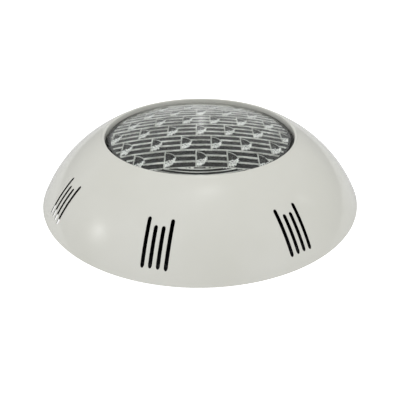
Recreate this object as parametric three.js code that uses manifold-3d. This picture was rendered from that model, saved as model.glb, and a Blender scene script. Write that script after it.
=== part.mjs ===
// Wall-hung underwater pool light: a domed cover with water slots over a sealed lamp on a wall plate.
// Millimetres. +Z points out of the wall along the light's axis, +Y is up on the wall, z = 0 is the wall.
import * as THREE from "three";
import { mergeVertices } from "three/addons/utils/BufferGeometryUtils.js";
import Module from "manifold-3d";

const wasm = await Module();
wasm.setup();

// ---------- driving dimensions ----------
const ASSEMBLY_GAP = 0.3; // between pieces that touch on the real light
const COVER_STEPS = 48; // facets round the cover
const ROUND_STEPS = 36; // facets round any other large turned piece
const SMALL_STEPS = 8; // facets round a screw or a pin
const OVERCUT = 1; // how far a cutting tool runs past a face

// cover
const COVER_RADIUS = 145; // outer rim at the wall
const COVER_HEIGHT = 54.9; // wall to the ridge round the opening
const COVER_ARC_RADIUS = 121.7; // curve of the dome's section
const COVER_WALL = 2.5;
const COVER_RIM_GAP = 0.5; // rim to the wall
const RIDGE_ROUND = 1.2;
const RIDGE_EASE = 0.4; // part of the rounding taken off each side of the ridge
const LIP_DEPTH = 6.9; // ridge down to the lip's lower edge
const LIP_WALL = 2.4;
const COVER_ARC_STEPS = 6;

// the lamp behind the cover; everything round in it follows the lens
const LENS_RADIUS = 88.9; // seven-inch face
const OPENING_RADIUS = LENS_RADIUS - 4.7; // the lip hides the edge of the lens

// water slots through the cover
const SLOT_GROUPS = 8; // places round the cover
const SLOT_BLANK = 4; // every fourth place has no slots
const SLOT_PHASE = 31.6; // degrees from +X to the first group
const SLOT_WIDTH = 2.8;
const SLOT_PITCH = 5.66;
const SLOT_PLACES = [-1.5, -0.5, 0.5, 1.5]; // in pitches from the middle of a group
const SLOT_FOOT = COVER_RADIUS - 5.5; // lower end of a slot from the axis
const LONG_SLOT_HEAD = COVER_RADIUS - 29.6; // upper end of an outer slot from the axis
const SHORT_SLOT_HEAD = COVER_RADIUS - 25.2; // upper end of an inner slot

// push-on fixing: blades under the cover held by spring clips on the plate
const CLIP_COUNT = 4;
const BLADE_DISTANCE = COVER_RADIUS - 22; // middle of a blade from the axis
const BLADE_LENGTH = 11;
const BLADE_THICKNESS = 3;
const BLADE_FOOT = 6.5; // lowest point of a blade above the wall
const CLIP_SHEET = 0.8;
const CLIP_LENGTH = 9;
const CLIP_HEIGHT = 11;
const CLIP_TAIL = 9; // foot of the clip beyond its inner leaf

// wall plate
const PLATE_RADIUS = COVER_RADIUS - 11;
const PLATE_THICKNESS = 3;
const PLATE_RIM_HEIGHT = 8;
const PLATE_RIM_WALL = 2.6;
const CABLE_HOLE_RADIUS = 11;
const CABLE_HOLE_DISTANCE = PLATE_RADIUS - 26;
const CABLE_HOLE_ANGLE = 222;
const CABLE_HOLE_STEPS = 24;
const WALL_SLOTS = 4;
const WALL_SLOT_WIDTH = 5.2;
const WALL_SLOT_LENGTH = 14;
const RIBS = 8;
const RIB_WIDTH = 2.4;
const RIB_HEIGHT = 3;
const RIB_INNER_END = 24;
const CLEAT_ANGLES = [22.5, 157.5, 202.5, 337.5]; // hooks over the spare cable
const CLEAT_DISTANCE = PLATE_RADIUS - 24;
const CLEAT_HEIGHT = 22;
const CLEAT_REACH = 11;
const CLEAT_WIDTH = 12;
const CLEAT_WALL = 3;
const BOSS_RADIUS = 5.5;
const BOSS_STEPS = 12;

// lamp housing
const LENS_FLANGE = 2.7;
const LENS_WALL = 2;
const DOME_FOOT_RADIUS = LENS_RADIUS - 6.3;
const DOME_STEP = 7.2; // upright part of the lens above its flange
const DOME_SAGITTA = 10;
const DOME_STEPS = 5; // rings of facets on a dome
const FLANGE_RADIUS = LENS_RADIUS + 10.1;
const FLANGE_THICKNESS = 4;
const BOWL_INNER_RADIUS = LENS_RADIUS - 7.9;
const BOWL_WALL = 3;
const BOWL_FOOT_Z = 14; // underside of the bowl above the wall
const BOWL_FLOOR = 3;
const GASKET_THICKNESS = 1.9;
const LIP_CLEARANCE = 0.9; // lip of the cover above the clamp ring
const RING_LIP = 2.5;
const RING_WALL = 2.4;
const RING_FLANGE = 2.4;
const RING_CHAMFER = 0.6;
const CLAMP_SCREWS = 6;
const CLAMP_SCREW_DISTANCE = LENS_RADIUS + 6.6;
const CLAMP_BOSS_RADIUS = 3.4;
const CLAMP_BOSS_DEPTH = 6;
const CLAMP_SCREW_LENGTH = 9;
const FEET = 4;
const FOOT_WIDTH = 14;
const FOOT_THICKNESS = 3;
const LAMP_SCREW_LENGTH = 9;

// optic plate, emitters and what carries them
const OPTIC_WALL = 2;
const OPTIC_SIDE_GAP = 0.5; // side of the optic plate to the side of the lens
const OPTIC_GAP = 1.4; // cups to the inside of the lens at their middles
const OPTIC_FLANGE_WIDTH = 3; // beyond the inside of the bowl
const OPTIC_FLANGE = 1.5;
const CELL_ROWS = [5, 6, 7, 6, 5, 4]; // from the lowest row on the wall
const CUP_RADIUS = 5;
const CUP_HEIGHT = 1.6;
const CUP_STEPS = 4;
const CUP_CLEARANCE = 0.6; // outer corners of the cups to the inside of the lens
const EMITTER_WIDTH = 5;
const EMITTER_HEIGHT = 2;
const BOARD_THICKNESS = 1.6;
const BOARD_DEPTH = 4.3; // face of the emitter board below the flange of the bowl
const SPREADER_THICKNESS = 2;
const LEAD_HOLE_RADIUS = 4.5; // middle of the board and the spreader
const PILLARS = 4;
const PILLAR_PHASE = 45;
const PILLAR_RADIUS = 3.4;
const PILLAR_STEPS = 12;
const PILLAR_STUD_HEIGHT = 5;
const BOARD_SCREW_LENGTH = 9;

// driver
const DRIVER_BOARD = 1.6;
const DRIVER_POST_HEIGHT = 3;
const DRIVER_POST_RADIUS = 2.6;
const DRIVER_HOLE_INSET = 4; // screw to the edge of the driver board
const DRIVER_SCREW_LENGTH = 4;
const POST_HOLE_DEPTH = 1.5; // into the floor of the bowl
const CAPACITOR_RADIUS = 4;
const CAPACITOR_HEIGHT = 7.6;
const CAPACITOR_ROUND = 0.5;
const CAPACITOR_PITCH = 12;
const CAPACITOR_STEPS = 16;
const CHOKE_RADIUS = 6;
const CHOKE_TUBE = 2.2;
const RECTIFIER = [10, 8, 4];
const TERMINAL = [20, 12, 9];
const LEAD_RADIUS = 0.9;
const LEAD_SPREAD = 2.2; // middle of a lead from the axis where it rises

// cable gland with an M16 x 1.5 thread, in a block on the side of the bowl, pointing to -X
const GLAND_BLOCK_HALF = 11.5;
const GLAND_THREAD_RADIUS = 7.9;
const GLAND_BORE_RADIUS = 4.6;
const GLAND_POCKET_RADIUS = 6;
const GLAND_SEAL_BORE = 4.1; // for an 8 mm cable
const GLAND_HEX_FLATS = 18.5;
const GLAND_HEX_LENGTH = 6;
const GLAND_INNER_THREAD = 9;
const GLAND_OUTER_THREAD = 8.8;
const GLAND_WASHER = 1.6;
const GLAND_WASHER_RADIUS = 10.5;
const GLAND_SEAL_PROUD = 1.5; // seal beyond the end of the thread
const THRUST_WASHER = 1;
const THRUST_WASHER_RADIUS = 6.6;
const GLAND_NUT_END = 1.9;
const GLAND_NUT_SHOULDER = 3.4; // height of the rounding at the nut's end
const GLAND_STEPS = 16;

// screws: thread radius, head radius, head height
const SCREW = [2, 3.7, 2.4];
const SMALL_SCREW = [1.5, 2.8, 1.7];
const SCREW_POINT = 0.5; // parts of the thread or head radius
const SCREW_CROWN = 0.8;
const RECESS_REACH = 0.55;
const RECESS_HALF = 0.14;
const RECESS_FLOOR = 0.4; // part of the head's height

// ---------- worked-out places ----------
const SCREW_HOLE = SCREW[0] + ASSEMBLY_GAP;
const SMALL_SCREW_HOLE = SMALL_SCREW[0] + ASSEMBLY_GAP;
const LIP_FOOT_Z = COVER_HEIGHT - LIP_DEPTH;
const CLIP_PHASE = SLOT_PHASE + 180 / SLOT_GROUPS; // blades stand between the slot groups
const BOWL_FLOOR_Z = BOWL_FOOT_Z + BOWL_FLOOR;
const BOWL_OUTER_RADIUS = BOWL_INNER_RADIUS + BOWL_WALL;
const FOOT_SCREW_DISTANCE = BOWL_OUTER_RADIUS + 17;
const WALL_SLOT_DISTANCE = BOWL_OUTER_RADIUS - 22; // inner end of a wall slot
// downwards from the lip of the cover: clamp ring, lens, gasket, flange of the bowl
const RING_LIP_Z = LIP_FOOT_Z - LIP_CLEARANCE - RING_LIP;
const LENS_FLANGE_TOP = RING_LIP_Z - ASSEMBLY_GAP;
const LENS_FOOT_Z = LENS_FLANGE_TOP - LENS_FLANGE;
const GASKET_Z = LENS_FOOT_Z - ASSEMBLY_GAP - GASKET_THICKNESS;
const FLANGE_TOP = GASKET_Z - ASSEMBLY_GAP;
const FLANGE_FOOT_Z = FLANGE_TOP - FLANGE_THICKNESS;
const DOME_FOOT_Z = LENS_FLANGE_TOP + DOME_STEP;
const DOME_SPHERE = (DOME_FOOT_RADIUS ** 2 + DOME_SAGITTA ** 2) / (2 * DOME_SAGITTA);
const DOME_CENTRE_Z = DOME_FOOT_Z + DOME_SAGITTA - DOME_SPHERE;
const RING_BORE = LENS_RADIUS + ASSEMBLY_GAP;
const RING_INNER_RADIUS = DOME_FOOT_RADIUS + ASSEMBLY_GAP;
const RING_FLANGE_TOP = GASKET_Z + RING_FLANGE;
const OPTIC_RADIUS = DOME_FOOT_RADIUS - LENS_WALL - OPTIC_SIDE_GAP;
const OPTIC_SPHERE = DOME_SPHERE - LENS_WALL - OPTIC_GAP - CUP_HEIGHT;
const OPTIC_FLANGE_RADIUS = BOWL_INNER_RADIUS + OPTIC_FLANGE_WIDTH;
const OPTIC_FLANGE_TOP = FLANGE_TOP - ASSEMBLY_GAP;
const OPTIC_LEDGE_Z = OPTIC_FLANGE_TOP - OPTIC_FLANGE - ASSEMBLY_GAP;
const CELL_PITCH_X = 0.3104 * OPTIC_RADIUS;
const CELL_PITCH_Y = 0.2913 * OPTIC_RADIUS;
const CELL_SHIFT = [0.0222 * OPTIC_RADIUS, 0.0262 * OPTIC_RADIUS]; // middle of the lattice from the axis
const BOARD_RADIUS = BOWL_INNER_RADIUS - 2;
const BOARD_TOP = FLANGE_TOP - BOARD_DEPTH;
const BOARD_Z = BOARD_TOP - BOARD_THICKNESS;
const SPREADER_TOP = BOARD_Z - ASSEMBLY_GAP;
const SPREADER_Z = SPREADER_TOP - SPREADER_THICKNESS;
const PILLAR_Z = BOWL_FLOOR_Z + ASSEMBLY_GAP;
const PILLAR_HEIGHT = SPREADER_Z - ASSEMBLY_GAP - PILLAR_Z;
const PILLAR_DISTANCE = 0.72 * BOARD_RADIUS;
const DRIVER_HALF = [0.395 * BOWL_INNER_RADIUS, 0.284 * BOWL_INNER_RADIUS];
const DRIVER_MIDDLE = [0.074 * BOWL_INNER_RADIUS, -0.123 * BOWL_INNER_RADIUS];
const TERMINAL_MIDDLE = [-0.272 * BOWL_INNER_RADIUS, 0.568 * BOWL_INNER_RADIUS];
const DRIVER_Z = BOWL_FLOOR_Z + DRIVER_POST_HEIGHT + ASSEMBLY_GAP;
const DRIVER_TOP = DRIVER_Z + DRIVER_BOARD;
const COMPONENT_Z = DRIVER_TOP + ASSEMBLY_GAP;
const FOOT_TOP = BOWL_FOOT_Z + FOOT_THICKNESS;
const BOSS_TOP = BOWL_FOOT_Z - ASSEMBLY_GAP;
const CLIP_Z = PLATE_THICKNESS + ASSEMBLY_GAP;
const CLIP_INNER = BLADE_DISTANCE - BLADE_THICKNESS / 2 - ASSEMBLY_GAP - CLIP_SHEET;
const CLIP_OUTER = BLADE_DISTANCE + BLADE_THICKNESS / 2 + ASSEMBLY_GAP + CLIP_SHEET;
const CLIP_SCREW_DISTANCE = CLIP_INNER - CLIP_TAIL / 2;
const CLIP_SCREW_Z = CLIP_Z + CLIP_SHEET + ASSEMBLY_GAP;
// the gland's block stays under the flange, and its face where the round side of the bowl meets its foot
const GLAND_Y = BOWL_OUTER_RADIUS - 12;
const GLAND_Z = FLANGE_FOOT_Z - 11;
const GLAND_BLOCK_FOOT_Y = GLAND_Y - GLAND_BLOCK_HALF;
const GLAND_FACE_X = -Math.sqrt(BOWL_OUTER_RADIUS ** 2 - GLAND_BLOCK_FOOT_Y ** 2);
const HEX_Z = GLAND_WASHER + 2 * ASSEMBLY_GAP;
const THREAD_Z = HEX_Z + GLAND_HEX_LENGTH;
const GLAND_TIP = THREAD_Z + GLAND_OUTER_THREAD;
const POCKET_Z = THREAD_Z + 1;
const SEAL_TOP = GLAND_TIP + GLAND_SEAL_PROUD;
const THRUST_Z = SEAL_TOP + ASSEMBLY_GAP;
const NUT_FLOOR_Z = THRUST_Z + THRUST_WASHER + ASSEMBLY_GAP;
const NUT_TOP = NUT_FLOOR_Z + GLAND_NUT_END;
const NUT_FOOT_Z = THREAD_Z + 2 * ASSEMBLY_GAP;

// ---------- materials: colour, roughness, metalness ----------
const LOOKS = {
  cover: [0xdcdcd3, 0.22, 0],
  plate: [0x26272a, 0.5, 0],
  bowl: [0x1c1d1f, 0.5, 0],
  ring: [0x141517, 0.4, 0],
  rubber: [0x202020, 0.85, 0],
  lens: [0xe8eeee, 0.05, 0],
  optic: [0xd6dadb, 0.12, 0],
  board: [0x101413, 0.5, 0],
  aluminium: [0xa8abad, 0.4, 1],
  steel: [0xb9bbbd, 0.3, 1],
  brass: [0xb5974e, 0.35, 1],
  driver: [0x1f5a35, 0.5, 0],
  component: [0x1a1a1c, 0.5, 0],
  capacitor: [0x23304f, 0.35, 0],
  copper: [0xa35b2d, 0.35, 1],
  red: [0xa31616, 0.5, 0],
  black: [0x141414, 0.5, 0],
};
const materials = Object.fromEntries(
  Object.entries(LOOKS).map(([name, [color, roughness, metalness]]) => [
    name,
    new THREE.MeshStandardMaterial({ name, color, roughness, metalness }),
  ]),
);

// ---------- shape helpers ----------
const rad = THREE.MathUtils.degToRad;
const spread = (count, phase = 0) => Array.from({ length: count }, (_, i) => phase + (360 * i) / count);
const at = (distance, angle, z = 0) => [distance * Math.cos(rad(angle)), distance * Math.sin(rad(angle)), z];

// A geometry as a manifold-3d solid.
function solidOf(geometry) {
  const bare = new THREE.BufferGeometry();
  const flat = geometry.index ? geometry.toNonIndexed() : geometry;
  bare.setAttribute("position", flat.getAttribute("position"));
  const merged = mergeVertices(bare, 1e-4);
  const vertProperties = merged.attributes.position.array;
  const index = merged.index.array;
  const build = (order) => {
    const triVerts = new Uint32Array(index.length);
    for (let i = 0; i < index.length; i += 3) {
      triVerts[i] = index[i];
      triVerts[i + 1] = index[i + order[0]];
      triVerts[i + 2] = index[i + order[1]];
    }
    return new wasm.Manifold(new wasm.Mesh({ numProp: 3, vertProperties, triVerts }));
  };
  const solid = build([1, 2]);
  return solid.volume() > 0 ? solid : build([2, 1]);
}

function geometryOf(solid) {
  const mesh = solid.getMesh();
  const geometry = new THREE.BufferGeometry();
  geometry.setAttribute("position", new THREE.BufferAttribute(mesh.vertProperties, 3));
  geometry.setIndex(new THREE.BufferAttribute(mesh.triVerts, 1));
  geometry.computeVertexNormals();
  return geometry;
}

const join = (...solids) => solids.flat().reduce((sum, solid) => sum.add(solid));
const cut = (solid, ...tools) => tools.flat().reduce((rest, tool) => rest.subtract(tool), solid);

// A turned solid from [radius, z] points. Away from the axis the outline closes on itself.
function turned(points, steps = ROUND_STEPS) {
  const outline = points.map(([r, z]) => new THREE.Vector2(r, z));
  const onAxis = points[0][0] === 0 && points[points.length - 1][0] === 0;
  if (!onAxis) outline.push(outline[0].clone());
  return solidOf(new THREE.LatheGeometry(outline, steps).rotateX(Math.PI / 2));
}

const disc = (radius, z0, z1, steps = ROUND_STEPS) =>
  turned([[0, z0], [radius, z0], [radius, z1], [0, z1]], steps);

const tube = (inner, outer, z0, z1, steps = ROUND_STEPS) =>
  turned([[inner, z0], [outer, z0], [outer, z1], [inner, z1]], steps);

// A hexagonal bar along Z, two of its flats facing +X and -X.
const hexBar = (flats, z0, z1) => disc(flats / 2 / Math.cos(Math.PI / 6), z0, z1, 6);

// A box from its lowest to its highest corner.
function box(x0, x1, y0, y1, z0, z1) {
  const geometry = new THREE.BoxGeometry(x1 - x0, y1 - y0, z1 - z0);
  return solidOf(geometry.translate((x0 + x1) / 2, (y0 + y1) / 2, (z0 + z1) / 2));
}

// Upright pins, holes or bosses at one distance from the axis.
const pins = (radius, distance, angles, z0, z1, steps = SMALL_STEPS) =>
  angles.map((angle) => disc(radius, z0, z1, steps).translate(at(distance, angle)));

// An upright slot with round ends that lies along +X.
function slotTool(width, inner, outer, offset, z0, z1) {
  const half = width / 2;
  const shape = new THREE.Shape();
  shape.absarc(outer - half, offset, half, -Math.PI / 2, Math.PI / 2, false);
  shape.absarc(inner + half, offset, half, Math.PI / 2, (3 * Math.PI) / 2, false);
  const depth = z1 - z0;
  const geometry = new THREE.ExtrudeGeometry(shape, { depth, bevelEnabled: false, curveSegments: 3 });
  return solidOf(geometry.translate(0, 0, z0));
}

// Points from one distance from the axis to another on a dome about the lens's centre.
function domePoints(sphere, from, to, steps) {
  return Array.from({ length: steps + 1 }, (_, i) => {
    const r = from + ((to - from) * i) / steps;
    return [r, DOME_CENTRE_Z + Math.sqrt(sphere ** 2 - r ** 2)];
  });
}

// A pan-head screw with a cross recess, its head resting on z = 0 and its point towards -Z.
function screw([radius, headRadius, head], length) {
  const outline = [
    [0, -length],
    [radius * SCREW_POINT, -length],
    [radius, -length + radius],
    [radius, 0],
    [headRadius, 0],
    [headRadius * SCREW_CROWN, head],
    [0, head],
  ];
  const arm = headRadius * RECESS_REACH;
  const half = headRadius * RECESS_HALF;
  const floor = head * RECESS_FLOOR;
  const top = head + OVERCUT;
  const crossing = [
    box(-arm, arm, -half, half, floor, top),
    box(-half, half, -arm, arm, floor, top),
  ];
  return cut(turned(outline, SMALL_STEPS), crossing);
}

const group = new THREE.Group();

function place(name, solid, material) {
  const mesh = new THREE.Mesh(geometryOf(solid), materials[material]);
  mesh.name = name;
  group.add(mesh);
  return mesh;
}

// One numbered copy of a solid at each angle, turned to face it.
function placeAround(name, solid, material, angles, distance, z) {
  angles.forEach((angle, i) => {
    const mesh = place(`${name}_${i + 1}`, solid, material);
    mesh.position.set(...at(distance, angle, z));
    mesh.rotation.z = rad(angle);
  });
}

// ---------- cover ----------
const COVER_FOOT = [COVER_RADIUS, COVER_RIM_GAP];
const COVER_HEAD = [OPENING_RADIUS + 2 * RIDGE_ROUND, COVER_HEIGHT - RIDGE_ROUND * RIDGE_EASE];

// The centre of the arc of the dome's section, on the side of the wall and the axis.
function coverArcCentre() {
  const dr = COVER_HEAD[0] - COVER_FOOT[0];
  const dz = COVER_HEAD[1] - COVER_FOOT[1];
  const chord = Math.hypot(dr, dz);
  const back = Math.sqrt(COVER_ARC_RADIUS ** 2 - (chord / 2) ** 2);
  const middle = [(COVER_FOOT[0] + COVER_HEAD[0]) / 2, (COVER_FOOT[1] + COVER_HEAD[1]) / 2];
  return [middle[0] - (dz / chord) * back, middle[1] + (dr / chord) * back];
}

const ARC_CENTRE = coverArcCentre();

// Points on the dome's section, a depth below its outer face, from the rim to a distance from the axis.
function coverArc(depth, headRadius, steps) {
  const radius = COVER_ARC_RADIUS - depth;
  const footAngle = Math.asin((COVER_RIM_GAP - ARC_CENTRE[1]) / radius);
  const headAngle = Math.acos((headRadius - ARC_CENTRE[0]) / radius);
  return Array.from({ length: steps + 1 }, (_, i) => {
    const angle = footAngle + ((headAngle - footAngle) * i) / steps;
    return [ARC_CENTRE[0] + radius * Math.cos(angle), ARC_CENTRE[1] + radius * Math.sin(angle)];
  });
}

function coverShell() {
  const lipRadius = OPENING_RADIUS + LIP_WALL;
  const inside = coverArc(COVER_WALL, lipRadius, COVER_ARC_STEPS - 2).reverse();
  return turned([
    ...coverArc(0, COVER_HEAD[0], COVER_ARC_STEPS),
    [OPENING_RADIUS + RIDGE_ROUND, COVER_HEIGHT],
    [OPENING_RADIUS + RIDGE_ROUND * RIDGE_EASE, COVER_HEIGHT - RIDGE_ROUND * RIDGE_EASE],
    [OPENING_RADIUS, COVER_HEIGHT - RIDGE_ROUND],
    [OPENING_RADIUS, LIP_FOOT_Z],
    [lipRadius, LIP_FOOT_Z],
    ...inside,
  ], COVER_STEPS);
}

// Four slots side by side: the outer two are longer.
function slotGroup() {
  return SLOT_PLACES.map((place) => {
    const head = Math.abs(place) > 1 ? LONG_SLOT_HEAD : SHORT_SLOT_HEAD;
    return slotTool(SLOT_WIDTH, head, SLOT_FOOT, place * SLOT_PITCH, 0, COVER_HEIGHT);
  });
}

// A blade under the cover, reaching into the middle of its wall.
function blade() {
  const half = BLADE_THICKNESS / 2;
  const x0 = BLADE_DISTANCE - half;
  const x1 = BLADE_DISTANCE + half;
  const bar = box(x0, x1, -BLADE_LENGTH / 2, BLADE_LENGTH / 2, BLADE_FOOT, COVER_HEIGHT);
  const arc = coverArc(COVER_WALL / 2, LONG_SLOT_HEAD, COVER_ARC_STEPS);
  const under = turned([[0, COVER_RIM_GAP], ...arc, [0, COVER_HEIGHT]], COVER_STEPS);
  return bar.intersect(under);
}

function frontCover() {
  const angles = spread(SLOT_GROUPS, SLOT_PHASE).filter((_, i) => (i + 1) % SLOT_BLANK !== 0);
  const slots = angles.flatMap((angle) => slotGroup().map((tool) => tool.rotate([0, 0, angle])));
  const blades = spread(CLIP_COUNT, CLIP_PHASE).map((angle) => blade().rotate([0, 0, angle]));
  return join(cut(coverShell(), slots), blades);
}

// ---------- wall plate and clips ----------
// A hook over the spare cable, open towards the rim.
function cleat() {
  const x0 = CLEAT_DISTANCE - CLEAT_WALL;
  const half = CLEAT_WIDTH / 2;
  const post = box(x0, CLEAT_DISTANCE, -half, half, 0, CLEAT_HEIGHT);
  const arm = box(x0, CLEAT_DISTANCE + CLEAT_REACH, -half, half, CLEAT_HEIGHT - CLEAT_WALL, CLEAT_HEIGHT);
  return join(post, arm);
}

function wallPlate() {
  const rimInside = PLATE_RADIUS - PLATE_RIM_WALL;
  const pan = turned([
    [0, 0],
    [PLATE_RADIUS, 0],
    [PLATE_RADIUS, PLATE_RIM_HEIGHT],
    [rimInside, PLATE_RIM_HEIGHT],
    [rimInside, PLATE_THICKNESS],
    [0, PLATE_THICKNESS],
  ]);
  const ribTop = PLATE_THICKNESS + RIB_HEIGHT;
  const rib = box(RIB_INNER_END, rimInside + OVERCUT, -RIB_WIDTH / 2, RIB_WIDTH / 2, OVERCUT, ribTop);
  const ribs = spread(RIBS, 180 / RIBS).map((angle) => rib.rotate([0, 0, angle]));
  const cleats = CLEAT_ANGLES.map((angle) => cleat().rotate([0, 0, angle]));
  const feet = spread(FEET);
  const bosses = pins(BOSS_RADIUS, FOOT_SCREW_DISTANCE, feet, OVERCUT, BOSS_TOP, BOSS_STEPS);
  const bossHoles = pins(SCREW_HOLE, FOOT_SCREW_DISTANCE, feet, PLATE_THICKNESS + OVERCUT, BOSS_TOP + OVERCUT);
  const clips = spread(CLIP_COUNT, CLIP_PHASE);
  const clipHoles = pins(SMALL_SCREW_HOLE, CLIP_SCREW_DISTANCE, clips, -OVERCUT, ribTop);
  const holeAngles = [CABLE_HOLE_ANGLE];
  const hole = pins(CABLE_HOLE_RADIUS, CABLE_HOLE_DISTANCE, holeAngles, -OVERCUT, ribTop, CABLE_HOLE_STEPS);
  const slotEnd = WALL_SLOT_DISTANCE + WALL_SLOT_LENGTH;
  const slot = slotTool(WALL_SLOT_WIDTH, WALL_SLOT_DISTANCE, slotEnd, 0, -OVERCUT, ribTop);
  const wallSlots = spread(WALL_SLOTS).map((angle) => slot.rotate([0, 0, angle]));
  return cut(join(pan, ribs, cleats, bosses), bossHoles, clipHoles, hole, wallSlots);
}

// A folded spring-steel clip: a foot with a screw hole and two upright leaves.
function coverClip() {
  const half = CLIP_LENGTH / 2;
  const foot = box(CLIP_INNER - CLIP_TAIL, CLIP_OUTER, -half, half, 0, CLIP_SHEET);
  const innerLeaf = box(CLIP_INNER, CLIP_INNER + CLIP_SHEET, -half, half, 0, CLIP_HEIGHT);
  const outerLeaf = box(CLIP_OUTER - CLIP_SHEET, CLIP_OUTER, -half, half, 0, CLIP_HEIGHT);
  const hole = pins(SMALL_SCREW_HOLE, CLIP_SCREW_DISTANCE, [0], -OVERCUT, CLIP_SHEET + OVERCUT);
  return cut(join(foot, innerLeaf, outerLeaf), hole);
}

// ---------- lamp housing ----------
// A solid turned about the gland's axis, from its distance in front of the block's face.
const onGland = (solid) => solid.rotate([0, -90, 0]).translate([GLAND_FACE_X, GLAND_Y, GLAND_Z]);

function lampBowl() {
  const recess = OPTIC_FLANGE_RADIUS + ASSEMBLY_GAP;
  const shell = turned([
    [0, BOWL_FOOT_Z],
    [BOWL_OUTER_RADIUS, BOWL_FOOT_Z],
    [BOWL_OUTER_RADIUS, FLANGE_FOOT_Z],
    [FLANGE_RADIUS, FLANGE_FOOT_Z],
    [FLANGE_RADIUS, FLANGE_TOP],
    [recess, FLANGE_TOP],
    [recess, OPTIC_LEDGE_Z],
    [BOWL_INNER_RADIUS, OPTIC_LEDGE_Z],
    [BOWL_INNER_RADIUS, BOWL_FLOOR_Z],
    [0, BOWL_FLOOR_Z],
  ]);
  const footEnd = FOOT_SCREW_DISTANCE + FOOT_WIDTH / 2;
  const foot = box(BOWL_INNER_RADIUS, footEnd, -FOOT_WIDTH / 2, FOOT_WIDTH / 2, BOWL_FOOT_Z, FOOT_TOP);
  const feet = spread(FEET).map((angle) => foot.rotate([0, 0, angle]));
  const blockTop = GLAND_Y + GLAND_BLOCK_HALF;
  const glandBlock = cut(
    box(GLAND_FACE_X, 0, GLAND_BLOCK_FOOT_Y, blockTop, BOWL_FOOT_Z, FLANGE_FOOT_Z + OVERCUT),
    disc(BOWL_INNER_RADIUS, BOWL_FLOOR_Z, FLANGE_TOP),
  );
  const bossFoot = FLANGE_FOOT_Z - CLAMP_BOSS_DEPTH;
  const angles = spread(CLAMP_SCREWS);
  const bosses = pins(CLAMP_BOSS_RADIUS, CLAMP_SCREW_DISTANCE, angles, bossFoot, FLANGE_FOOT_Z + OVERCUT);
  const studs = pins(
    SMALL_SCREW[0],
    PILLAR_DISTANCE,
    spread(PILLARS, PILLAR_PHASE),
    BOWL_FLOOR_Z - OVERCUT,
    BOWL_FLOOR_Z + PILLAR_STUD_HEIGHT,
  );
  const postTop = BOWL_FLOOR_Z + DRIVER_POST_HEIGHT;
  const posts = DRIVER_CORNERS.map(([x, y]) =>
    disc(DRIVER_POST_RADIUS, BOWL_FLOOR_Z - OVERCUT, postTop, SMALL_STEPS).translate([x, y, 0]),
  );
  const postHoles = DRIVER_CORNERS.map(([x, y]) =>
    disc(SMALL_SCREW_HOLE, BOWL_FLOOR_Z - POST_HOLE_DEPTH, postTop + OVERCUT, SMALL_STEPS).translate([x, y, 0]),
  );
  const threadEnd = -GLAND_INNER_THREAD - ASSEMBLY_GAP;
  return cut(
    join(shell, feet, glandBlock, bosses, studs, posts),
    postHoles,
    pins(SCREW_HOLE, FOOT_SCREW_DISTANCE, spread(FEET), 0, FOOT_TOP + OVERCUT),
    pins(SMALL_SCREW_HOLE, CLAMP_SCREW_DISTANCE, angles, bossFoot + OVERCUT, FLANGE_TOP + OVERCUT),
    onGland(disc(GLAND_THREAD_RADIUS + ASSEMBLY_GAP, threadEnd, OVERCUT, GLAND_STEPS)),
    onGland(disc(GLAND_BORE_RADIUS, GLAND_FACE_X, OVERCUT, GLAND_STEPS)),
  );
}

function frontLens() {
  const inner = DOME_FOOT_RADIUS - LENS_WALL;
  return turned([
    [inner, LENS_FOOT_Z],
    [LENS_RADIUS, LENS_FOOT_Z],
    [LENS_RADIUS, LENS_FLANGE_TOP],
    [DOME_FOOT_RADIUS, LENS_FLANGE_TOP],
    ...domePoints(DOME_SPHERE, DOME_FOOT_RADIUS, 0, DOME_STEPS),
    ...domePoints(DOME_SPHERE - LENS_WALL, 0, inner, DOME_STEPS),
  ]);
}

function clampRing() {
  const wallOutside = RING_BORE + RING_WALL;
  const profile = turned([
    [RING_BORE, GASKET_Z],
    [FLANGE_RADIUS, GASKET_Z],
    [FLANGE_RADIUS, RING_FLANGE_TOP],
    [wallOutside, RING_FLANGE_TOP],
    [wallOutside, RING_LIP_Z + RING_LIP - RING_CHAMFER],
    [wallOutside - RING_CHAMFER, RING_LIP_Z + RING_LIP],
    [RING_INNER_RADIUS, RING_LIP_Z + RING_LIP],
    [RING_INNER_RADIUS, RING_LIP_Z],
    [RING_BORE, RING_LIP_Z],
  ]);
  const angles = spread(CLAMP_SCREWS);
  const holes = pins(SMALL_SCREW_HOLE, CLAMP_SCREW_DISTANCE, angles, FLANGE_TOP, RING_FLANGE_TOP + OVERCUT);
  return cut(profile, holes);
}

// ---------- optics and emitters ----------
// The middles of the cells: staggered rows that fill the round lens.
const CELLS = CELL_ROWS.flatMap((count, row) =>
  Array.from({ length: count }, (_, i) => [
    CELL_SHIFT[0] + (i - (count - 1) / 2) * CELL_PITCH_X,
    CELL_SHIFT[1] + (row - (CELL_ROWS.length - 1) / 2) * CELL_PITCH_Y,
  ]),
);

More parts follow.
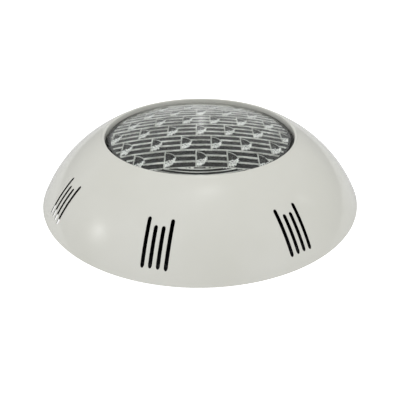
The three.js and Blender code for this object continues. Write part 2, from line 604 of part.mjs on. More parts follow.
function opticPlate() {
  const inner = OPTIC_RADIUS - OPTIC_WALL;
  const flangeFoot = OPTIC_FLANGE_TOP - OPTIC_FLANGE;
  const shell = turned([
    [inner, flangeFoot],
    [OPTIC_FLANGE_RADIUS, flangeFoot],
    [OPTIC_FLANGE_RADIUS, OPTIC_FLANGE_TOP],
    [OPTIC_RADIUS, OPTIC_FLANGE_TOP],
    ...domePoints(OPTIC_SPHERE, OPTIC_RADIUS, 0, DOME_STEPS),
    ...domePoints(OPTIC_SPHERE - OPTIC_WALL, 0, inner, DOME_STEPS),
  ]);
  const half = new THREE.Shape();
  half.absarc(0, 0, CUP_RADIUS, -Math.PI / 2, Math.PI / 2, false);
  half.closePath();
  const depth = CUP_HEIGHT + OPTIC_WALL;
  const options = { depth, bevelEnabled: false, curveSegments: CUP_STEPS };
  const cup = solidOf(new THREE.ExtrudeGeometry(half, options));
  const cups = CELLS.map(([x, y]) => {
    const [[, z]] = domePoints(OPTIC_SPHERE, Math.hypot(x, y), 0, 1);
    return cup.translate([x, y, z - OPTIC_WALL]);
  });
  const room = turned([
    [0, flangeFoot],
    [OPTIC_RADIUS, flangeFoot],
    ...domePoints(DOME_SPHERE - LENS_WALL - CUP_CLEARANCE, OPTIC_RADIUS, 0, DOME_STEPS),
  ]);
  return join(shell, join(cups).intersect(room));
}

function ledBoard() {
  const half = EMITTER_WIDTH / 2;
  const emitter = box(-half, half, -half, half, BOARD_TOP - BOARD_THICKNESS / 2, BOARD_TOP + EMITTER_HEIGHT);
  const room = BOARD_RADIUS - half * Math.SQRT2;
  const onBoard = CELLS.filter(([x, y]) => Math.hypot(x, y) < room);
  const emitters = onBoard.map(([x, y]) => emitter.translate([x, y, 0]));
  return join(carrier(BOARD_Z, BOARD_TOP), emitters);
}

// A round sheet with the lead hole and the screw holes.
function carrier(z0, z1) {
  const angles = spread(PILLARS, PILLAR_PHASE);
  const holes = pins(SMALL_SCREW_HOLE, PILLAR_DISTANCE, angles, z0 - OVERCUT, z1 + OVERCUT);
  return cut(tube(LEAD_HOLE_RADIUS, BOARD_RADIUS, z0, z1), holes);
}

// ---------- driver ----------
const DRIVER_CORNERS = [[-1, -1], [1, -1], [1, 1], [-1, 1]].map(([sx, sy]) => [
  DRIVER_MIDDLE[0] + sx * (DRIVER_HALF[0] - DRIVER_HOLE_INSET),
  DRIVER_MIDDLE[1] + sy * (DRIVER_HALF[1] - DRIVER_HOLE_INSET),
]);

function driverBoard() {
  const [x, y] = DRIVER_MIDDLE;
  const [hx, hy] = DRIVER_HALF;
  const board = box(x - hx, x + hx, y - hy, y + hy, DRIVER_Z, DRIVER_TOP);
  const holes = DRIVER_CORNERS.map(([cx, cy]) =>
    disc(SMALL_SCREW_HOLE, DRIVER_Z - OVERCUT, DRIVER_TOP + OVERCUT, SMALL_STEPS).translate([cx, cy, 0]),
  );
  return cut(board, holes);
}

function capacitor() {
  const outline = [
    [0, 0],
    [CAPACITOR_RADIUS, 0],
    [CAPACITOR_RADIUS, CAPACITOR_HEIGHT - CAPACITOR_ROUND],
    [CAPACITOR_RADIUS - CAPACITOR_ROUND, CAPACITOR_HEIGHT],
    [0, CAPACITOR_HEIGHT],
  ];
  return turned(outline, CAPACITOR_STEPS);
}

// A lead that rises from the driver, passes the board and bends down to its pad beside the hole.
function lead(side) {
  const x = side * LEAD_SPREAD;
  const path = new THREE.CatmullRomCurve3([
    new THREE.Vector3(x * 3, 5, COMPONENT_Z + LEAD_RADIUS),
    new THREE.Vector3(x * 1.4, 2, DRIVER_TOP + 3),
    new THREE.Vector3(x, 0, SPREADER_Z - 2),
    new THREE.Vector3(x, 0, BOARD_TOP + 1),
    new THREE.Vector3(x * 1.6, 1.5, BOARD_TOP + 2.6),
    new THREE.Vector3(x * 3.4, 4, BOARD_TOP + ASSEMBLY_GAP + LEAD_RADIUS * 1.4),
  ]);
  const ring = new THREE.Shape();
  ring.absarc(0, 0, LEAD_RADIUS, 0, 2 * Math.PI, false);
  const options = { steps: 14, bevelEnabled: false, curveSegments: 3, extrudePath: path };
  return solidOf(new THREE.ExtrudeGeometry(ring, options));
}

// ---------- gland ----------
function glandBody() {
  const threads = disc(GLAND_THREAD_RADIUS, -GLAND_INNER_THREAD, GLAND_TIP, GLAND_STEPS);
  return cut(
    join(threads, hexBar(GLAND_HEX_FLATS, HEX_Z, THREAD_Z)),
    disc(GLAND_BORE_RADIUS, -GLAND_INNER_THREAD - OVERCUT, GLAND_TIP, GLAND_STEPS),
    disc(GLAND_POCKET_RADIUS, POCKET_Z, GLAND_TIP + OVERCUT, GLAND_STEPS),
  );
}

function glandNut() {
  const bore = GLAND_THREAD_RADIUS + ASSEMBLY_GAP;
  const corner = GLAND_HEX_FLATS / 2 / Math.cos(Math.PI / 6);
  const rounding = turned([
    [0, NUT_FOOT_Z],
    [corner + OVERCUT, NUT_FOOT_Z],
    [corner + OVERCUT, NUT_FLOOR_Z - GLAND_NUT_SHOULDER],
    [GLAND_BORE_RADIUS + 2, NUT_TOP],
    [0, NUT_TOP],
  ], GLAND_STEPS);
  return cut(
    hexBar(GLAND_HEX_FLATS, NUT_FOOT_Z, NUT_TOP).intersect(rounding),
    disc(bore, NUT_FOOT_Z - OVERCUT, GLAND_TIP + ASSEMBLY_GAP, GLAND_STEPS),
    disc(GLAND_POCKET_RADIUS + 1, GLAND_TIP, NUT_FLOOR_Z, GLAND_STEPS),
    disc(GLAND_BORE_RADIUS, NUT_FLOOR_Z - OVERCUT, NUT_TOP + OVERCUT, GLAND_STEPS),
  );
}

// ---------- assembly ----------
const clipAngles = spread(CLIP_COUNT, CLIP_PHASE);
const clampAngles = spread(CLAMP_SCREWS);
const footAngles = spread(FEET);
const pillarAngles = spread(PILLARS, PILLAR_PHASE);

place("front_cover", frontCover(), "cover");
place("wall_plate", wallPlate(), "plate");
placeAround("cover_clip", coverClip(), "steel", clipAngles, 0, CLIP_Z);
const clipScrew = screw(SMALL_SCREW, CLIP_SCREW_Z - ASSEMBLY_GAP);
placeAround("clip_screw", clipScrew, "steel", clipAngles, CLIP_SCREW_DISTANCE, CLIP_SCREW_Z);

place("lamp_bowl", lampBowl(), "bowl");
place("lens_gasket", tube(DOME_FOOT_RADIUS, LENS_RADIUS, GASKET_Z, GASKET_Z + GASKET_THICKNESS), "rubber");
place("front_lens", frontLens(), "lens");
place("clamp_ring", clampRing(), "ring");
const clampScrew = screw(SMALL_SCREW, CLAMP_SCREW_LENGTH);
const clampScrewZ = RING_FLANGE_TOP + ASSEMBLY_GAP;
placeAround("clamp_screw", clampScrew, "steel", clampAngles, CLAMP_SCREW_DISTANCE, clampScrewZ);
const lampScrew = screw(SCREW, LAMP_SCREW_LENGTH);
placeAround("lamp_screw", lampScrew, "steel", footAngles, FOOT_SCREW_DISTANCE, FOOT_TOP + ASSEMBLY_GAP);

place("optic_plate", opticPlate(), "optic");
place("led_board", ledBoard(), "board");
place("heat_spreader", carrier(SPREADER_Z, SPREADER_TOP), "aluminium");
const pillar = tube(SMALL_SCREW_HOLE, PILLAR_RADIUS, 0, PILLAR_HEIGHT, PILLAR_STEPS);
placeAround("board_pillar", pillar, "aluminium", pillarAngles, PILLAR_DISTANCE, PILLAR_Z);
const boardScrew = screw(SMALL_SCREW, BOARD_SCREW_LENGTH);
placeAround("board_screw", boardScrew, "steel", pillarAngles, PILLAR_DISTANCE, BOARD_TOP + ASSEMBLY_GAP);

// Something on the driver board, at parts of the board's half sizes from its middle.
function onDriver(name, solid, material, across, up, z = COMPONENT_Z) {
  const mesh = place(name, solid, material);
  const x = DRIVER_MIDDLE[0] + across * DRIVER_HALF[0];
  mesh.position.set(x, DRIVER_MIDDLE[1] + up * DRIVER_HALF[1], z);
  return mesh;
}

// A block standing on z = 0.
const block = ([x, y, z]) => box(-x / 2, x / 2, -y / 2, y / 2, 0, z);

place("driver_board", driverBoard(), "driver");
DRIVER_CORNERS.forEach(([x, y], i) => {
  const driverScrew = place(`driver_screw_${i + 1}`, screw(SMALL_SCREW, DRIVER_SCREW_LENGTH), "steel");
  driverScrew.position.set(x, y, COMPONENT_Z);
});
[-0.5, 0.5].forEach((side, i) => {
  const can = onDriver(`capacitor_${i + 1}`, capacitor(), "capacitor", 0.31, -0.35);
  can.position.x += side * CAPACITOR_PITCH;
});
const winding = solidOf(new THREE.TorusGeometry(CHOKE_RADIUS, CHOKE_TUBE, 8, 16));
onDriver("choke", winding, "copper", -0.5, -0.35, COMPONENT_Z + CHOKE_TUBE);
onDriver("rectifier", block(RECTIFIER), "component", 0.63, 0.26);
const terminal = place("terminal_block", block(TERMINAL), "component");
terminal.position.set(...TERMINAL_MIDDLE, BOWL_FLOOR_Z + ASSEMBLY_GAP);
place("lead_red", lead(1), "red");
place("lead_black", lead(-1), "black");

place("gland_body", onGland(glandBody()), "brass");
const washerBore = GLAND_THREAD_RADIUS + ASSEMBLY_GAP;
const washer = tube(washerBore, GLAND_WASHER_RADIUS, ASSEMBLY_GAP, ASSEMBLY_GAP + GLAND_WASHER, GLAND_STEPS);
place("gland_washer", onGland(washer), "rubber");
const sealRadius = GLAND_POCKET_RADIUS - ASSEMBLY_GAP;
const seal = tube(GLAND_SEAL_BORE, sealRadius, POCKET_Z + ASSEMBLY_GAP, SEAL_TOP, GLAND_STEPS);
place("gland_seal", onGland(seal), "rubber");
const thrustTop = THRUST_Z + THRUST_WASHER;
const thrust = tube(GLAND_BORE_RADIUS, THRUST_WASHER_RADIUS, THRUST_Z, thrustTop, GLAND_STEPS);
place("gland_thrust_washer", onGland(thrust), "steel");
place("gland_nut", onGland(glandNut()), "brass");

export default group;
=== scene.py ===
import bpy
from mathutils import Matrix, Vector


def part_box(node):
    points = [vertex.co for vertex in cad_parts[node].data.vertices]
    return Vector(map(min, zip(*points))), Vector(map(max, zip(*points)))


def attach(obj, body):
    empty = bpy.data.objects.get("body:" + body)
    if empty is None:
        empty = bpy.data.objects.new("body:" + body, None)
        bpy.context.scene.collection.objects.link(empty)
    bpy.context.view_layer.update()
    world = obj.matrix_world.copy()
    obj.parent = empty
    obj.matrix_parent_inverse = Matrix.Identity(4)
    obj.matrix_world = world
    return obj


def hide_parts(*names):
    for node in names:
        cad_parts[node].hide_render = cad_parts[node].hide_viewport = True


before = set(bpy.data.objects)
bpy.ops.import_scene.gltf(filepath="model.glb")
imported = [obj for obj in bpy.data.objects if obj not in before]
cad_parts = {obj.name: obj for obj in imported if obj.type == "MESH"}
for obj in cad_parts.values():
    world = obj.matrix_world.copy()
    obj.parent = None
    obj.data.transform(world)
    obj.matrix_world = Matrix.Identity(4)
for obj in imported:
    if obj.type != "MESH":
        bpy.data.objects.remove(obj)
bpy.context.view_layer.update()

import math

import bmesh
import bpy
from mathutils import Matrix, Vector, noise
from mathutils.geometry import delaunay_2d_cdt

MM = 0.001
TURN = 2 * math.pi

# ---------- places taken from the frame ----------
ROOT = "lamp_and_plate"
cover_low, cover_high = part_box("front_cover")
lens_low, lens_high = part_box("front_lens")
ring_low, ring_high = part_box("clamp_ring")
optic_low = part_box("optic_plate")[0]
plate_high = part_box("wall_plate")[1]
bowl_low, bowl_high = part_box("lamp_bowl")
washer_low, washer_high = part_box("gland_washer")

# ---------- cover ----------
COVER_RADIUS = cover_high.x
COVER_TOP = cover_high.z
COVER_RIM_Z = cover_low.z
COVER_ARC = 121.7 * MM
COVER_WALL = 2.5 * MM
LENS_RADIUS = lens_high.x
OPENING_RADIUS = LENS_RADIUS - 4.7 * MM
RIDGE_ROUND = 1.2 * MM
LIP_DEPTH = 6.9 * MM
LIP_WALL = 2.4 * MM
LIP_ROUND = 0.5 * MM
SLOT_GROUPS = 8  # places round the cover
SLOT_BLANK = 4  # every fourth place has no slots
SLOT_PHASE = math.radians(31.6)
SLOT_PLACES = (-1.5, -0.5, 0.5, 1.5)
SLOT_HALF = 1.4 * MM
SLOT_PITCH = 5.66 * MM
SLOT_FOOT = COVER_RADIUS - 5.5 * MM
LONG_SLOT_HEAD = COVER_RADIUS - 29.6 * MM
SHORT_SLOT_HEAD = COVER_RADIUS - 25.2 * MM
SLOT_EDGE_ROUND = 0.4 * MM
SLOT_UNDERCUT = 0.8 * MM  # a slot widens by this on the inside
SLOT_WALL = 1.1 * MM  # wall beside a slot
THINNING = 4 * MM  # width over which the wall thins towards a slot
AROUND = 288  # steps round the cover
OUTER_STEPS = 30  # steps down the outer face
INNER_STEPS = 24
RIDGE_STEPS = 8
BLADE_DISTANCE = COVER_RADIUS - 22 * MM
BLADE_HALF = (1.5 * MM, 5.5 * MM)
BLADE_FOOT = 6.5 * MM
BLADES = 4
JOIN = 0.5 * MM  # one moulded piece reaches this far into the next

# ---------- lens and optic ----------
LENS_FOOT_Z = lens_low.z
LENS_TOP_Z = lens_high.z
DOME_FOOT_RADIUS = LENS_RADIUS - 6.3 * MM
DOME_SAGITTA = 10 * MM
LENS_WALL = 1.6 * MM
LENS_FLANGE = 2.7 * MM
LENS_FLANGE_ROUND = 0.4 * MM
DOME_STEPS = 28
DOME_FOOT_Z = LENS_TOP_Z - DOME_SAGITTA
DOME_SPHERE = (DOME_FOOT_RADIUS**2 + DOME_SAGITTA**2) / (2 * DOME_SAGITTA)
DOME_CENTRE_Z = LENS_TOP_Z - DOME_SPHERE
OPTIC_SIDE_GAP = 0.5 * MM
OPTIC_GAP = 1.5 * MM
OPTIC_RADIUS = DOME_FOOT_RADIUS - LENS_WALL - OPTIC_SIDE_GAP
OPTIC_SPHERE = DOME_SPHERE - LENS_WALL - OPTIC_GAP
CELL_X = 24.86 * MM
CELL_Y = 23.33 * MM
CELL_ROWS = (5, 6, 7, 6, 5, 4)  # cups a row, from the bottom up
CELL_SHIFT = (1.78 * MM, 2.1 * MM)

# ---------- ring, bowl and plate ----------
RING_LIP_TOP = ring_high.z
RING_FOOT_Z = ring_low.z
RING_OUTER = ring_high.x
RING_BORE = LENS_RADIUS + 0.3 * MM
RING_WALL = 2.4 * MM
RING_LIP = 2.5 * MM
RING_FLANGE = 2.4 * MM
BOWL_FOOT_Z = bowl_low.z
BOWL_TOP_Z = bowl_high.z
BOWL_INNER = LENS_RADIUS - 7.9 * MM
BOWL_OUTER = BOWL_INNER + 3 * MM
BOWL_FLANGE = 4 * MM
BOWL_FLOOR = 3 * MM
BOWL_RECESS = 2.1 * MM  # depth of the seat of the optic's flange
BOWL_RECESS_WIDTH = 3.3 * MM
BOWL_RIBS = 24
CLAMP_SCREWS = 6
CLAMP_DISTANCE = LENS_RADIUS + 6.6 * MM
LAMP_FEET = 4
LAMP_FOOT_HALF = 7 * MM
PLATE_RADIUS = plate_high.x
PLATE_THICKNESS = 3 * MM
PLATE_RIM = 8 * MM
PLATE_RIM_WALL = 2.6 * MM
PLATE_RIBS = 8
CABLE_HOLE_ANGLE = math.radians(222)
CABLE_HOLE_RADIUS = 11 * MM
CABLE_HOLE_DISTANCE = PLATE_RADIUS - 26 * MM
WALL_SLOT_START = BOWL_OUTER - 22 * MM
WALL_SLOT_LENGTH = 14 * MM
WALL_SLOT_HALF = 2.6 * MM
CLEAT_ANGLES = (22.5, 157.5, 202.5, 337.5)  # degrees
CLEAT_DISTANCE = PLATE_RADIUS - 24 * MM
CLEAT_WALL = 3 * MM
CLEAT_HALF = 6 * MM
CLEAT_TOP = 22 * MM
CLEAT_REACH = 11 * MM
FOOT_DISTANCE = BOWL_OUTER + 17 * MM
ROUND_STEPS = 192

CUT_LOW = -2 * MM  # a cutter starts below the plate
CUT_HIGH = 10 * MM

# ---------- gland ----------
gland_low, gland_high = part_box("gland_body")
WASHER_Y = (washer_low.y + washer_high.y) / 2
GLAND_Y = (gland_low.y + gland_high.y) / 2
GLAND_Z = (gland_low.z + gland_high.z) / 2
GLAND_GAP = 0.3 * MM
GLAND_FACE_X = washer_high.x + GLAND_GAP
GLAND_AXIS = Matrix.Translation((GLAND_FACE_X, GLAND_Y, GLAND_Z)) @ Matrix.Rotation(-math.pi / 2, 4, "Y")
THREAD = 7.9 * MM
THREAD_DEPTH = 0.7 * MM
THREAD_PITCH = 1.5 * MM
GLAND_BORE = 4.6 * MM
SEAL_BORE = 4.1 * MM
HEX_HALF = 9.25 * MM
HEX_HEIGHT = 6 * MM
HEX_EASE = 0.6 * MM
NUT_EASE = 3.2 * MM  # the nut's free end is turned down this far
NUT_CROWN = 1.9 * MM  # end wall of the nut

# ---------- mesh helpers ----------
def shade(mesh, angle):
    """Smooth faces, with sharp edges only where faces meet above an angle in degrees."""
    mesh.polygons.foreach_set("use_smooth", [True] * len(mesh.polygons))
    mesh.set_sharp_from_angle(angle=math.radians(angle))


def placed(name, data):
    obj = bpy.data.objects.new(name, data)
    bpy.context.collection.objects.link(obj)
    return obj


def mesh_object(name, vertices, faces, smooth_angle=30):
    """An object of one mesh with its doubled points joined and its faces turned outward."""
    mesh = bpy.data.meshes.new(name)
    mesh.from_pydata([tuple(v) for v in vertices], [], faces)
    bm = bmesh.new()
    bm.from_mesh(mesh)
    bmesh.ops.remove_doubles(bm, verts=bm.verts, dist=1e-7)
    bmesh.ops.recalc_face_normals(bm, faces=bm.faces)
    bm.to_mesh(mesh)
    bm.free()
    shade(mesh, smooth_angle)
    return placed(name, mesh)


def polar(distance, angle):
    return distance * math.cos(angle), distance * math.sin(angle)


def around(count, phase=0.0):
    """Evenly spaced headings, in radians."""
    return [phase + TURN * i / count for i in range(count)]


def finish_piece(obj, body, material, replaced=()):
    obj.data.materials.clear()
    obj.data.materials.append(material)
    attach(obj, body)
    if replaced:
        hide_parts(*replaced)
    return obj


def lathe(points, steps, closed=True):
    """Vertices and faces of a section of (radius, z) points turned about the axis."""
    vertices, faces, rings = [], [], []
    for r, z in points:
        if r < 1e-9:
            rings.append([len(vertices)])
            vertices.append((0, 0, z))
            continue
        rings.append(list(range(len(vertices), len(vertices) + steps)))
        vertices += circle(r, z, steps)
    pairs = list(zip(rings, rings[1:]))
    if closed and len(rings[0]) > 1:
        pairs.append((rings[-1], rings[0]))
    for low, high in pairs:
        faces += bridge(low, high)
    return vertices, faces


def circle(r, z, steps):
    """A level ring of points."""
    return [(*polar(r, TURN * i / steps), z) for i in range(steps)]


def bridge(low, high):
    """Faces between two rings of vertex numbers. A ring of one is a tip."""
    count = max(len(low), len(high))
    faces = []
    for i in range(count):
        j = (i + 1) % count
        if len(low) == 1 and len(high) == 1:
            continue
        if len(low) == 1:
            faces.append((low[0], high[i], high[j]))
        elif len(high) == 1:
            faces.append((low[i], high[0], low[j]))
        else:
            faces.append((low[i], low[j], high[j], high[i]))
    return faces


def rounded(points, radii, steps=4):
    """An outline with each corner rounded by its radius. None keeps a corner sharp."""
    out = []
    for k, (point, radius) in enumerate(zip(points, radii)):
        if not radius:
            out.append(point)
            continue
        before, corner, after = Vector(points[k - 1]), Vector(point), Vector(points[(k + 1) % len(points)])
        u, w = (before - corner).normalized(), (after - corner).normalized()
        half = u.angle(w) / 2
        reach = radius / math.tan(half)
        reach = min(reach, (before - corner).length * 0.49, (after - corner).length * 0.49)
        size = reach * math.tan(half)
        centre = corner + (u + w).normalized() * (size / math.sin(half))
        start, end = corner + u * reach - centre, corner + w * reach - centre
        sweep = start.angle_signed(end)
        for i in range(steps + 1):
            turn = Matrix.Rotation(-sweep * i / steps, 2)
            q = centre + turn @ start
            out.append((q.x, q.y))
    return out


# ---------- the cover's section ----------
FOOT = (COVER_RADIUS, COVER_RIM_Z)
HEAD = (OPENING_RADIUS + 2 * RIDGE_ROUND, COVER_TOP - RIDGE_ROUND * 0.4)


def arc_centre():
    """The centre of the arc of the dome's section."""
    dr, dz = HEAD[0] - FOOT[0], HEAD[1] - FOOT[1]
    chord = math.hypot(dr, dz)
    back = math.sqrt(COVER_ARC**2 - (chord / 2) ** 2)
    middle = ((FOOT[0] + HEAD[0]) / 2, (FOOT[1] + HEAD[1]) / 2)
    return middle[0] - dz / chord * back, middle[1] + dr / chord * back


ARC_R, ARC_Z = arc_centre()


def cover_z(r, depth=0.0):
    """Height of the dome at a distance from the axis, a depth below its outer face."""
    return ARC_Z + math.sqrt(max((COVER_ARC - depth) ** 2 - (r - ARC_R) ** 2, 0))


def foot_radius(depth):
    """Distance from the axis at which the dome meets the wall, a depth below its outer face."""
    return ARC_R + math.sqrt((COVER_ARC - depth) ** 2 - (COVER_RIM_Z - ARC_Z) ** 2)


# ---------- the slots in plan ----------
def slot_list():
    """Every slot as (group angle, sideways offset, head, foot)."""
    slots = []
    for group in range(SLOT_GROUPS):
        if (group + 1) % SLOT_BLANK == 0:
            continue
        angle = SLOT_PHASE + TURN * group / SLOT_GROUPS
        for place in SLOT_PLACES:
            head = LONG_SLOT_HEAD if abs(place) > 1 else SHORT_SLOT_HEAD
            slots.append((angle, place * SLOT_PITCH, head, SLOT_FOOT))
    return slots


SLOTS = slot_list()
FAR = 1.0  # farther than any slot


def slot_outline(slot, grow, arc_steps=10, side_steps=14):
    """Plan points of one slot's outline, a distance outside its wall, counter-clockwise."""
    angle, offset, head, foot = slot
    half = SLOT_HALF + grow
    inner, outer = head + SLOT_HALF, foot - SLOT_HALF
    points = []
    for i in range(arc_steps + 1):
        a = -math.pi / 2 + math.pi * i / arc_steps
        points.append((outer + half * math.cos(a), offset + half * math.sin(a)))
    for i in range(1, side_steps):
        points.append((outer + (inner - outer) * i / side_steps, offset + half))
    for i in range(arc_steps + 1):
        a = math.pi / 2 + math.pi * i / arc_steps
        points.append((inner + half * math.cos(a), offset + half * math.sin(a)))
    for i in range(1, side_steps):
        points.append((inner + (outer - inner) * i / side_steps, offset - half))
    c, s = math.cos(angle), math.sin(angle)
    return [(x * c - y * s, x * s + y * c) for x, y in points]


def slot_distance(x, y):
    """Distance outside the wall of the nearest slot, negative inside it."""
    sector = TURN / SLOT_GROUPS
    place = ((math.atan2(y, x) - SLOT_PHASE) % TURN) / sector
    if (round(place) % SLOT_GROUPS + 1) % SLOT_BLANK == 0:
        return FAR
    u, v = polar(math.hypot(x, y), (place - round(place)) * sector)
    best = FAR
    for _, offset, head, foot in SLOTS[: len(SLOT_PLACES)]:
        along = min(max(u, head + SLOT_HALF), foot - SLOT_HALF)
        best = min(best, math.hypot(u - along, v - offset) - SLOT_HALF)
    return best


def skin(radii, outlines, height, clearance):
    """A pierced skin: its points, its faces, its innermost and outermost rings, and each slot's ring."""
    plan, edges, rings = [], [], []
    for k, r in enumerate(radii):
        ring = []
        at_edge = k in (0, len(radii) - 1)
        stagger = 0 if at_edge else 0.5 * (k % 2)
        for i in range(AROUND):
            x, y = polar(r, TURN * (i + stagger) / AROUND)
            if slot_distance(x, y) > clearance:
                ring.append(len(plan))
                plan.append((x, y))
        rings.append(ring)
    slot_rings = []
    for slot in SLOTS:
        nested = []
        for grow in outlines:
            points = slot_outline(slot, grow)
            ring = list(range(len(plan), len(plan) + len(points)))
            plan += points
            edges += [(ring[i], ring[(i + 1) % len(ring)]) for i in range(len(ring))]
            nested.append(ring)
        slot_rings.append(nested[0])
    for ring in (rings[0], rings[-1]):
        edges += [(ring[i], ring[(i + 1) % len(ring)]) for i in range(len(ring))]
    found = delaunay_2d_cdt([Vector(p) for p in plan], edges, [], 0, 1e-9, True)
    points, triangles, origins = found[0], found[2], found[3]
    number = {}
    for new, old in enumerate(origins):
        for o in old:
            number[o] = new
    low = radii[0] * math.cos(math.pi / AROUND)
    faces = []
    for t in triangles:
        x = sum(points[i].x for i in t) / 3
        y = sum(points[i].y for i in t) / 3
        if math.hypot(x, y) < low - 1e-7 or slot_distance(x, y) < outlines[0]:
            continue
        faces.append(tuple(t))
    solid = [(p.x, p.y, height(p.x, p.y)) for p in points]
    first = [number[i] for i in rings[0]]
    last = [number[i] for i in rings[-1]]
    return solid, faces, first, last, [[number[i] for i in ring] for ring in slot_rings]


def outer_height(x, y):
    """The dome's outer face, rounded over the slots' edges."""
    gap = slot_distance(x, y)
    drop = 0.0
    if gap < SLOT_EDGE_ROUND:
        over = SLOT_EDGE_ROUND - max(gap, 0)
        drop = SLOT_EDGE_ROUND - math.sqrt(max(SLOT_EDGE_ROUND**2 - over**2, 0))
    return cover_z(math.hypot(x, y)) - drop


def inner_height(x, y):
    """The dome's inner face, nearer to the outer face beside the slots."""
    gap = slot_distance(x, y) - SLOT_UNDERCUT
    share = smooth_step(0, THINNING, gap)
    return cover_z(math.hypot(x, y), SLOT_WALL + (COVER_WALL - SLOT_WALL) * share)


def smooth_step(a, b, v):
    t = min(max((v - a) / (b - a), 0.0), 1.0)
    return t * t * (3 - 2 * t)


def steps_between(a, b, count):
    return [a + (b - a) * i / count for i in range(count + 1)]


def cover_shell():
    """The cover's two pierced skins, joined at the slots, the foot, the ridge and the lip."""
    lip = OPENING_RADIUS + LIP_WALL
    edge_rings_at = [SLOT_EDGE_ROUND * share for share in (0, 0.12, 0.4, 1.0)]
    outer = skin(steps_between(HEAD[0], COVER_RADIUS, OUTER_STEPS), edge_rings_at, outer_height, 1.1 * MM)
    under_radii = steps_between(lip, foot_radius(COVER_WALL), INNER_STEPS)
    under = skin(under_radii, [SLOT_UNDERCUT], inner_height, SLOT_UNDERCUT + 0.3 * MM)
    vertices = list(outer[0])
    faces = list(outer[1])
    base = len(vertices)
    vertices += under[0]
    faces += [tuple(base + i for i in f) for f in under[1]]
    for top, bottom in zip(outer[4], under[4]):
        faces += bridge(top, [base + i for i in bottom])
    lip_z = COVER_TOP - LIP_DEPTH
    mouth = ridge_points() + [(OPENING_RADIUS, lip_z + LIP_ROUND)]
    mouth += [(OPENING_RADIUS + LIP_ROUND, lip_z), (lip - LIP_ROUND, lip_z), (lip, lip_z + LIP_ROUND)]
    rings = [outer[2]]
    for r, z in mouth:
        rings.append(list(range(len(vertices), len(vertices) + AROUND)))
        vertices += circle(r, z, AROUND)
    rings.append([base + i for i in under[2]])
    for low, high in zip(rings, rings[1:]):
        faces += bridge(low, high)
    faces += bridge(outer[3], [base + i for i in under[3]])
    return mesh_object("cover_shell", vertices, faces, 40)


def ridge_points():
    """The rounded ridge from the head of the dome's arc over into the opening."""
    points = []
    centre_r = OPENING_RADIUS + RIDGE_ROUND
    centre_z = COVER_TOP - RIDGE_ROUND
    dr, dz = HEAD[0] - centre_r, HEAD[1] - centre_z
    start, reach = math.atan2(dz, dr), math.hypot(dr, dz)
    for i in range(1, RIDGE_STEPS + 1):
        radius = reach + (RIDGE_ROUND - reach) * min(i / 3, 1)
        r, z = polar(radius, start + (math.pi - start) * i / RIDGE_STEPS)
        points.append((centre_r + r, centre_z + z))
    return points


# ---------- materials ----------
def node_group(name, inputs, outputs):
    group = bpy.data.node_groups.new(name, "ShaderNodeTree")
    for label, kind, default in inputs:
        socket = group.interface.new_socket(label, in_out="INPUT", socket_type=kind)
        socket.default_value = default
    for label, kind in outputs:
        group.interface.new_socket(label, in_out="OUTPUT", socket_type=kind)
    return group, group.nodes.new("NodeGroupInput"), group.nodes.new("NodeGroupOutput")


def add(tree, kind, **values):
    """A shader node with its sockets or settings given by name."""
    node = tree.nodes.new(kind)
    for key, value in values.items():
        if key in node.inputs:
            node.inputs[key].default_value = value
        else:
            setattr(node, key, value)
    return node


def moulded_group():
    """Slow colour drift, fine surface grain and faint polish marks of a moulded piece."""
    group, into, out = node_group(
        "moulded_surface",
        [
            ("Colour", "NodeSocketColor", (0.8, 0.8, 0.8, 1)),
            ("Drift Colour", "NodeSocketColor", (0.7, 0.7, 0.7, 1)),
            ("Drift Scale", "NodeSocketFloat", 14.0),
            ("Grain Scale", "NodeSocketFloat", 900.0),
            ("Roughness Low", "NodeSocketFloat", 0.2),
            ("Roughness High", "NodeSocketFloat", 0.3),
        ],
        [("Colour", "NodeSocketColor"), ("Roughness", "NodeSocketFloat"), ("Height", "NodeSocketFloat")],
    )
    link = group.links.new
    place = add(group, "ShaderNodeTexCoord")
    drift = add(group, "ShaderNodeTexNoise", Detail=3.0, Roughness=0.5)
    link(place.outputs["Object"], drift.inputs["Vector"])
    link(into.outputs["Drift Scale"], drift.inputs["Scale"])
    mix = add(group, "ShaderNodeMix", data_type="RGBA")
    spread = add(group, "ShaderNodeMapRange")
    spread.inputs["From Min"].default_value = 0.35
    spread.inputs["From Max"].default_value = 0.65
    link(drift.outputs["Fac"], spread.inputs["Value"])
    link(spread.outputs["Result"], mix.inputs[0])
    link(into.outputs["Colour"], mix.inputs[6])
    link(into.outputs["Drift Colour"], mix.inputs[7])
    grain = add(group, "ShaderNodeTexNoise", Detail=4.0, Roughness=0.6)
    link(place.outputs["Object"], grain.inputs["Vector"])
    link(into.outputs["Grain Scale"], grain.inputs["Scale"])
    smear = add(group, "ShaderNodeTexNoise", Scale=38.0, Detail=5.0, Roughness=0.65, Distortion=0.6)
    link(place.outputs["Object"], smear.inputs["Vector"])
    rough = add(group, "ShaderNodeMapRange")
    link(smear.outputs["Fac"], rough.inputs["Value"])
    rough.inputs["From Min"].default_value = 0.3
    rough.inputs["From Max"].default_value = 0.7
    link(into.outputs["Roughness Low"], rough.inputs["To Min"])
    link(into.outputs["Roughness High"], rough.inputs["To Max"])
    link(mix.outputs[2], out.inputs["Colour"])
    link(rough.outputs["Result"], out.inputs["Roughness"])
    link(grain.outputs["Fac"], out.inputs["Height"])
    return group


MOULDED = moulded_group()


